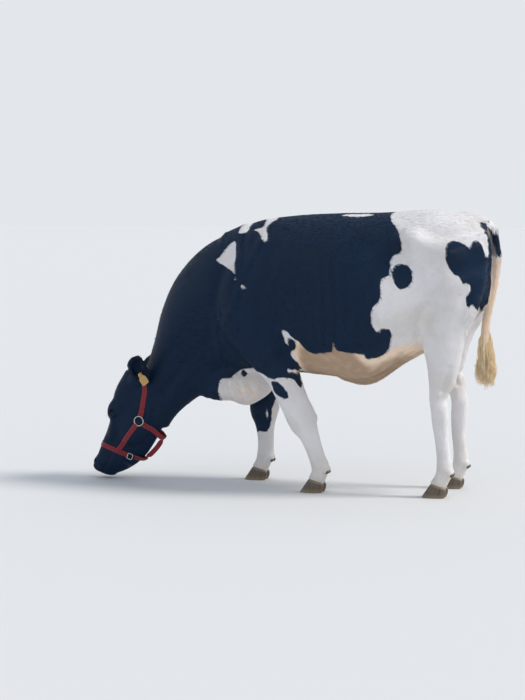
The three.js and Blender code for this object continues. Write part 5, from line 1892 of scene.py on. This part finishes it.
@dataclass(frozen=True)
class CattleHair(Finish):
    """Short cattle hair: combed keratin with a satin gloss, black with a navy tint of painted sky reflection,
    or cream; tan where thin and as painted light.

    The skin's own finish adds a bump of fine hair and the wet cobbled pad of the muzzle.
    """

    skin: bool = False
    # The navy tint of these blacks is painted sky reflection; the hair itself is near black.
    black: str = "#04203a"
    black_warm: str = "#0a2036"
    black_tuft: str = "#112c49"
    white: str = "#ecebee"
    white_shade: str = "#e2dfdf"
    white_tuft: str = "#cfc6b8"
    # Cream and tan of thin hair; the tan is also darkened as painted shade under the belly.
    cream: str = "#fae2ca"
    tan: str = "#ae937a"
    soil: str = "#cdc3a6"
    # Grey brown over black: dust on the lower legs, and painted sheen on the tail's dark top.
    dust_and_sheen: str = "#a0968f"
    pad: str = "#15161d"

    def inputs(self, add: Adder) -> dict[str, object]:
        """Colours by the numbers that the mesh holds."""
        names = ("marking", "warm", "soil", "bare", "tuft", "along")
        held = {name: add("Attribute", {}, "Fac", attribute_name=name) for name in names}
        place = add("TexCoord", {}, "Object")
        # Clouds 170 mm across part the shades; grain 3 mm across frays the markings' edge by 2 mm.
        cloud = add("TexNoise", {"Vector": place, "Scale": 5.9, "Detail": 2.0})
        grain = add("TexNoise", {"Vector": place, "Scale": 333.0, "Detail": 2.0})
        fray = add("Math", {0: grain, 1: 9.0, 2: -4.5}, operation="MULTIPLY_ADD")
        edge = add("Math", {0: held["marking"], 1: fray}, operation="ADD")
        tuft, warm, soil, bare = (held[name] for name in ("tuft", "warm", "soil", "bare"))
        white = [
            (cloud, 0.35, 0.68, 1.0, self.white_shade),
            (tuft, 0.0, 1.0, 0.14, self.white_tuft),
            # Cream and tan: thin hair, painted shade under the belly and on the brisket, painted warm light
            # on the tail.
            (warm, 0.0, 0.45, 1.0, self.cream),
            (warm, 0.45, 1.0, 0.9, self.tan),
            (soil, 0.0, 1.0, 0.6, self.soil),
        ]
        layers = [
            (cloud, 0.45, 0.75, 1.0, self.black_warm),
            (tuft, 0.0, 1.0, 0.35, self.black_tuft),
            # Dust on the lower legs; on the tail's dark top, a band of painted sheen.
            (soil, 0.5, 1.0, 1.0, self.dust_and_sheen),
            (edge, -1.6, 1.6, 1.0, self.layered(add, self.white, white)),
            (bare, 0.0, 1.0, 1.0, self.pad),
        ]
        rough = add("MapRange", {0: edge, 1: -1.6, 2: 1.6, 3: 0.44, 4: 0.66}, **RAMP)
        if not self.skin:
            # Painted shade: each tuft up to 7% darker towards its root.
            layers.append((held["along"], 0.9, 0.0, 0.07, "#000000"))
            return {"Base Color": self.layered(add, self.black, layers), "Roughness": rough}
        # Hair 1.3 mm apart and 12 mm long shows as streaks; the muzzle pad has 3 mm cobbles.
        streak = add("Mapping", {"Vector": place, "Scale": (0.11, 1.0, 0.5)})
        hair = add("TexNoise", {"Vector": streak, "Scale": 770.0, "Detail": 2.0})
        cobble = add("TexVoronoi", {"Vector": place, "Scale": 330.0}, "Distance")
        height = add("Mix", {0: bare, 2: hair, 3: cobble})
        bump = add("Bump", {"Height": height, "Strength": 0.5, "Distance": 0.0012})
        wet = add("Mix", {0: bare, 2: rough, 3: 0.3})
        return {"Base Color": self.layered(add, self.black, layers), "Roughness": wet, "Normal": bump}


@dataclass(frozen=True)
class SwitchHair(Finish):
    """Long tail hair: cream keratin in locks, each lock a tone between deep yellow and pale cream, the heart
    inside deep yellow.
    """

    deep: str = "#f0d2a2"
    pale: str = "#fff3d8"

    def inputs(self, add: Adder) -> dict[str, object]:
        """Colour by lock and in clouds 22 mm across, with strands 1 mm apart as bump."""
        place = add("TexCoord", {}, "Object")
        lock = add("Attribute", {}, "Fac", attribute_name="tuft")
        cloud = add("TexNoise", {"Vector": place, "Scale": 45.0})
        layers = [(lock, 0.0, 1.0, 0.75, self.pale), (cloud, 0.3, 0.7, 0.4, self.pale)]
        strand = add("Mapping", {"Vector": place, "Scale": (1.0, 1.0, 0.12)})
        height = add("TexNoise", {"Vector": strand, "Scale": 1100.0})
        bump = add("Bump", {"Height": height, "Strength": 0.4, "Distance": 0.0006})
        return {"Base Color": self.layered(add, self.deep, layers), "Normal": bump}


@dataclass(frozen=True)
class EyeGlass(Finish):
    """A living eye: wet, smooth and very dark, with a long level pupil."""

    pupil: str = "#05060b"
    iris: str = "#150d0a"
    fibre: str = "#211510"
    rim: str = "#231815"

    def inputs(self, add: Adder) -> dict[str, object]:
        """Iris and pupil by the distance from the middle of the 40 mm map."""
        uv = add("UVMap", {}, uv_map="Surface")
        fibres = add("TexNoise", {"Vector": uv, "Scale": 70.0, "Detail": 4.0})
        colour = self.layered(add, self.iris, [(fibres, 0.3, 0.7, 1.0, self.fibre)])
        # Each ellipse's width and height in mm, the levels its edge rises between, and its colour.
        ellipses = ((13.6, 12.6, 0.86, 1.02, self.rim), (7.6, 4.4, 1.05, 0.92, self.pupil))
        for wide, high, low, top, over in ellipses:
            scale = (40 / wide, 40 / high, 0.0)
            spot = add("Mapping", {"Vector": uv, "Scale": scale, "Location": [-v / 2 for v in scale]})
            away = add("VectorMath", {0: spot}, "Value", operation="LENGTH")
            colour = self.layered(add, colour, [(away, low, top, 1.0, over)])
        return {"Base Color": colour}


@dataclass(frozen=True)
class ClawHorn(Finish):
    """Cattle horn: rings 5 mm apart, dark grey brown with cream streaks, worn and dusty."""

    horn: str = "#51473c"
    streak: str = "#6b5f52"
    ridge: str = "#9a8a70"
    band: str = "#a3957f"
    dust: str = "#9a8b70"

    def inputs(self, add: Adder) -> dict[str, object]:
        """Rings down the wall, streaks along it, a waxy band on top and dust below."""
        place = add("TexCoord", {}, "Object")
        down = add("Mapping", {"Vector": place, "Scale": (1.0, 1.0, 0.10)})
        streaks = add("TexNoise", {"Vector": down, "Scale": 125.0, "Detail": 3.0})
        wander = add("TexNoise", {"Vector": place, "Scale": 41.7, "Detail": 3.0})
        depth = add("Attribute", {}, "Fac", attribute_name="depth")
        wander = add("Math", {0: wander, 1: 14.0}, operation="MULTIPLY")
        wave = add("Math", {0: depth, 1: 2 * math.pi / 5, 2: wander}, operation="MULTIPLY_ADD")
        ring = add("Math", {0: wave}, operation="SINE")
        height = add("SeparateXYZ", {0: place}, "Z")
        layers = [
            (streaks, 0.35, 0.7, 1.0, self.streak),
            (ring, -1.0, 1.0, 0.05, self.ridge),
            (depth, 58.0, 68.0, 0.5, self.band),
            (height, 0.028, 0.0, 0.55, self.dust),
        ]
        bump = add("Bump", {"Height": ring, "Strength": 0.3, "Distance": 0.0005})
        return {"Base Color": self.layered(add, self.horn, layers), "Normal": bump}


@dataclass(frozen=True)
class NylonWebbing(Finish):
    """Woven nylon: ribs 1.6 mm apart, edges that catch dirt, two rows of stitches."""

    red: str = "#a3162a"
    # The weave's grooves keep this darker colour as painted shade between the ribs.
    gap: str = "#5d0e1a"
    worn: str = "#7a2630"
    thread: str = "#c9505c"
    dirt: str = "#3d0a12"
    width: float = 27.0

    def inputs(self, add: Adder) -> dict[str, object]:
        """Colour and bump from the strap's own map in millimetres."""
        uv = add("UVMap", {}, uv_map="Surface")
        along, across = (add("SeparateXYZ", {0: uv}, axis) for axis in "XY")
        waves = []
        for length, distance in ((1.6, along), (1.1, across), (4.0, along)):
            turn = add("Math", {0: distance, 1: 2 * math.pi / length}, operation="MULTIPLY")
            waves.append(add("Math", {0: turn}, operation="SINE"))
        rib, fibre, beat = waves
        fibre = add("Math", {0: fibre, 1: 0.4}, operation="MULTIPLY")
        weave = add("Math", {0: rib, 1: 0.6, 2: fibre}, operation="MULTIPLY_ADD")
        # Distance from the middle line; the stitch rows are 3.2 mm in from each edge, 4 mm a stitch.
        half = self.width / 2
        off = add("Math", {0: across, 1: half}, operation="SUBTRACT")
        off = add("Math", {0: off}, operation="ABSOLUTE")
        row = add("Math", {0: off, 1: half - 3.2}, operation="SUBTRACT")
        row = add("Math", {0: row}, operation="ABSOLUTE")
        row = add("MapRange", {0: row, 1: 0.75, 2: 0.35}, **RAMP)
        beat = add("MapRange", {0: beat, 1: -0.5, 2: -0.1}, **RAMP)
        stitch = add("Math", {0: row, 1: beat}, operation="MULTIPLY")
        place = add("TexCoord", {}, "Object")
        cloud = add("TexNoise", {"Vector": place, "Scale": 33.3, "Detail": 3.0})
        layers = [
            # Painted shade: the grooves between the ribs stay the darker gap colour.
            (weave, -0.9, 0.9, 1.0, self.red),
            (cloud, 0.35, 0.7, 0.3, self.worn),
            (stitch, 0.0, 1.0, 0.75, self.thread),
            (off, half - 1.4, half, 0.45, self.dirt),
        ]
        height = add("Math", {0: stitch, 1: 1.2, 2: weave}, operation="MULTIPLY_ADD")
        bump = add("Bump", {"Height": height, "Strength": 0.6, "Distance": 0.0004})
        return {"Base Color": self.layered(add, self.gap, layers), "Normal": bump}


@dataclass(frozen=True)
class PlatedSteel(Finish):
    """Nickel-plated steel wire, tumbled smooth, with fine scratches and a duller film."""

    bright: str = "#c9c8c4"
    film: str = "#97938b"

    def inputs(self, add: Adder) -> dict[str, object]:
        """Bright metal whose roughness varies with wear in patches 6 mm across."""
        place = add("TexCoord", {}, "Object")
        wear = add("TexNoise", {"Vector": place, "Scale": 167.0, "Detail": 4.0})
        scratch = add("TexNoise", {"Vector": place, "Scale": 1250.0, "Detail": 3.0})
        return {
            "Base Color": self.layered(add, self.bright, [(wear, 0.35, 0.75, 1.0, self.film)]),
            "Roughness": add("MapRange", {0: wear, 1: 0.35, 2: 0.75, 3: 0.22, 4: 0.42}, **RAMP),
            "Normal": add("Bump", {"Height": scratch, "Strength": 0.15, "Distance": 0.0002}),
        }


@dataclass(frozen=True)
class TagPlastic(Finish):
    """Moulded polyurethane tag: faded yellow tan, satin, chalky with dust."""

    tan: str = "#c8a25a"
    dust: str = "#a98f68"

    def inputs(self, add: Adder) -> dict[str, object]:
        """Faded colour with dust in clouds 12 mm across, and a grain of 1.5 mm."""
        place = add("TexCoord", {}, "Object")
        cloud = add("TexNoise", {"Vector": place, "Scale": 83.3, "Detail": 4.0})
        grain = add("TexNoise", {"Vector": place, "Scale": 667.0, "Detail": 3.0})
        return {
            "Base Color": self.layered(add, self.tan, [(cloud, 0.4, 0.75, 1.0, self.dust)]),
            "Normal": add("Bump", {"Height": grain, "Strength": 0.2, "Distance": 0.0003}),
        }


# ---- studio


@dataclass(frozen=True)
class Studio:
    """The camera, a pale floor, soft daylight and one large lamp."""

    eye: Triple = (2.5427, -9.6796, 1.5)
    yaw: float = 17.0
    pitch: float = 4.468
    lens: float = 99.72
    sun_from: Triple = (0.70, 0.10, 0.70)
    sun_strength: float = 2.35

    def placed(self, name: str, data: bpy.types.ID, forward: Vector) -> Thing:
        """A camera or lamp that looks along a direction."""
        thing = bpy.data.objects.new(name, data)
        bpy.context.scene.collection.objects.link(thing)
        thing.rotation_mode = "QUATERNION"
        thing.rotation_quaternion = forward.to_track_quat("-Z", "Y")
        return thing

    def build(self) -> None:
        """Places everything that isn't the cow."""
        scene = bpy.context.scene
        scene.view_settings.view_transform = "Standard"
        yaw, pitch = math.radians(self.yaw), math.radians(self.pitch)
        level = math.cos(pitch)
        forward = Vector((-math.sin(yaw) * level, math.cos(yaw) * level, -math.sin(pitch)))
        camera = self.placed("camera", bpy.data.cameras.new("camera"), forward)
        camera.location = Vector(self.eye) + Vector((SHIFT, 0, 0))
        camera.data.sensor_width = 36.0
        camera.data.lens = self.lens
        camera.data.clip_end = 500
        scene.camera = camera
        self.floor()
        self.sky()
        lamp = self.placed("sun", bpy.data.lights.new("sun", "SUN"), -Vector(self.sun_from))
        lamp.data.energy = self.sun_strength
        lamp.data.angle = math.radians(16)
        lamp.data.color = (1.0, 0.965, 0.91)

    def floor(self) -> None:
        """A wide plain floor that takes the cow's shadow."""
        size = 90.0
        mesh = bpy.data.meshes.new("floor")
        corners = [(-size, -size, 0), (size, -size, 0), (size, size, 0), (-size, size, 0)]
        mesh.from_pydata(corners, [], [range(4)])
        floor = bpy.data.objects.new("floor", mesh)
        bpy.context.scene.collection.objects.link(floor)
        Finish("painted floor", roughness=0.9).dress([floor])

    def sky(self) -> None:
        """Even light, a little bluer from above, and a pale background."""
        world = bpy.data.worlds.new("daylight")
        bpy.context.scene.world = world
        world.use_nodes = True
        tree = world.node_tree
        tree.nodes.clear()
        add = partial(add_node, tree)
        height = add("SeparateXYZ", {0: add("TexCoord", {}, "Generated")}, "Z")
        share = add("MapRange", {0: height, 1: -0.1, 2: 0.7}, **RAMP)
        light = add("Mix", {0: share, 6: "#d9d7d2", 7: "#dfe8f7"}, 2, **COLOUR)
        glow = add("Background", {"Color": light, "Strength": 0.80})
        pale = add("Background", {"Color": "#e3e7eb", "Strength": 1.0})
        seen: object = 0.0
        for ray in ("Is Camera Ray", "Is Transmission Ray", "Is Glossy Ray"):
            seen = add("Math", {0: seen, 1: add("LightPath", {}, ray)}, operation="MAXIMUM")
        add("OutputWorld", {"Surface": add("MixShader", {0: seen, 1: glow, 2: pale})})


# ---- the cow


FLESH_NODES = [
    "trunk", "neck", "head", "ear_left", "ear_right", "tail_dock",
    *(f"{part.name.lower()}_{length}" for part in LEGS for length in ("upper", "lower", "pastern")),
]


# What the finish reads where the hair is plain black.
PLAIN_BLACK = {"marking": -20.0, "warm": 0.0, "soil": 0.0, "bare": 0.0}


def skin_piece(skin: Skin, markings: Markings, flesh: Flesh) -> Thing:
    """The skin with its ears and lids as one piece, carrying the coat's numbers."""
    shells = [(skin.points, skin.faces), *(Ear(side).shell() for side in SIDES)]
    points, faces = merged([*shells, *(Eye(side, flesh).lid() for side in SIDES)])
    values = {key: np.full(len(points), level) for key, level in PLAIN_BLACK.items()}
    for key, numbers in Comb(markings).traits(skin.points).items():
        values[key][: len(numbers)] = numbers
    values["tuft"] = np.full(len(points), 0.5)
    return make_piece("skin", points, faces, "coat", FLESH_NODES, values=values)


def trim(coat: Coat, flesh: Flesh) -> Thing:
    """The hair of both ears and the lashes, in one piece."""
    tufts, uvs = [], []
    for side in SIDES:
        ear, uv = Ear(side).hair(coat, EAR_TUFTS)
        lashes, root = Eye(side, flesh).lashes(coat)
        tufts += [ear, lashes]
        uvs += [uv, coat.comb.atlas(root, np.full(len(root), Part.HEAD))]
    tufts = np.concatenate(tufts)
    count = len(tufts)
    values = {key: np.full(count, level) for key, level in PLAIN_BLACK.items()}
    values |= {"tuft": coat.chance.random(count), "along": np.tile(BENT_ALONG, (count, 1))}
    return coat.piece("coat_ears", tufts, BENT, np.concatenate(uvs), values)


def finished(finish: Finish, pieces: Sequence[Thing]) -> None:
    """Dresses pieces in a finish and reports each one."""
    finish.dress(pieces)
    for piece in pieces:
        log.info("%s, %s: %s faces", piece.name, finish.name, len(piece.data.polygons))


def main() -> None:
    """Builds the studio, the cow and what it wears."""
    logging.basicConfig(level=logging.INFO, format="%(relativeCreated)d %(message)s")
    Studio().build()
    flesh, markings = Flesh(), Markings()
    skin = Skin(flesh)
    on_skin = CattleHair("combed short hair on skin", sheen=0.03, specular=0.16, skin=True)
    finished(on_skin, [skin_piece(skin, markings, flesh)])
    halter = Halter(flesh, Flesh(loose=True))
    web, metal = halter.build()
    coat = coat_pieces(skin, markings, halter.paths)
    coat.append(trim(Coat(skin, Comb(markings), seed=5), flesh))
    finished(CattleHair("short cattle hair", sheen=0.03, specular=0.16), coat)
    switch = Switch().build(np.random.default_rng(3))
    finished(SwitchHair("long tail hair", sheen=0.05, specular=0.3), [switch])
    balls = [Eye(side, flesh).ball() for side in SIDES]
    finished(EyeGlass("wet eye", roughness=0.08, ior=1.38, coat=0.2, specular=0.2), balls)
    finished(ClawHorn("cattle horn", roughness=0.5), [Hoof(part).build() for part in LEGS])
    finished(NylonWebbing("woven nylon webbing", roughness=0.62, sheen=0.2), web)
    finished(PlatedSteel("nickel-plated steel", metallic=1.0), metal)
    finished(TagPlastic("moulded polyurethane", roughness=0.5), EarTag().build())
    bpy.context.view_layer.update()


if __name__ == "__main__":
    main()
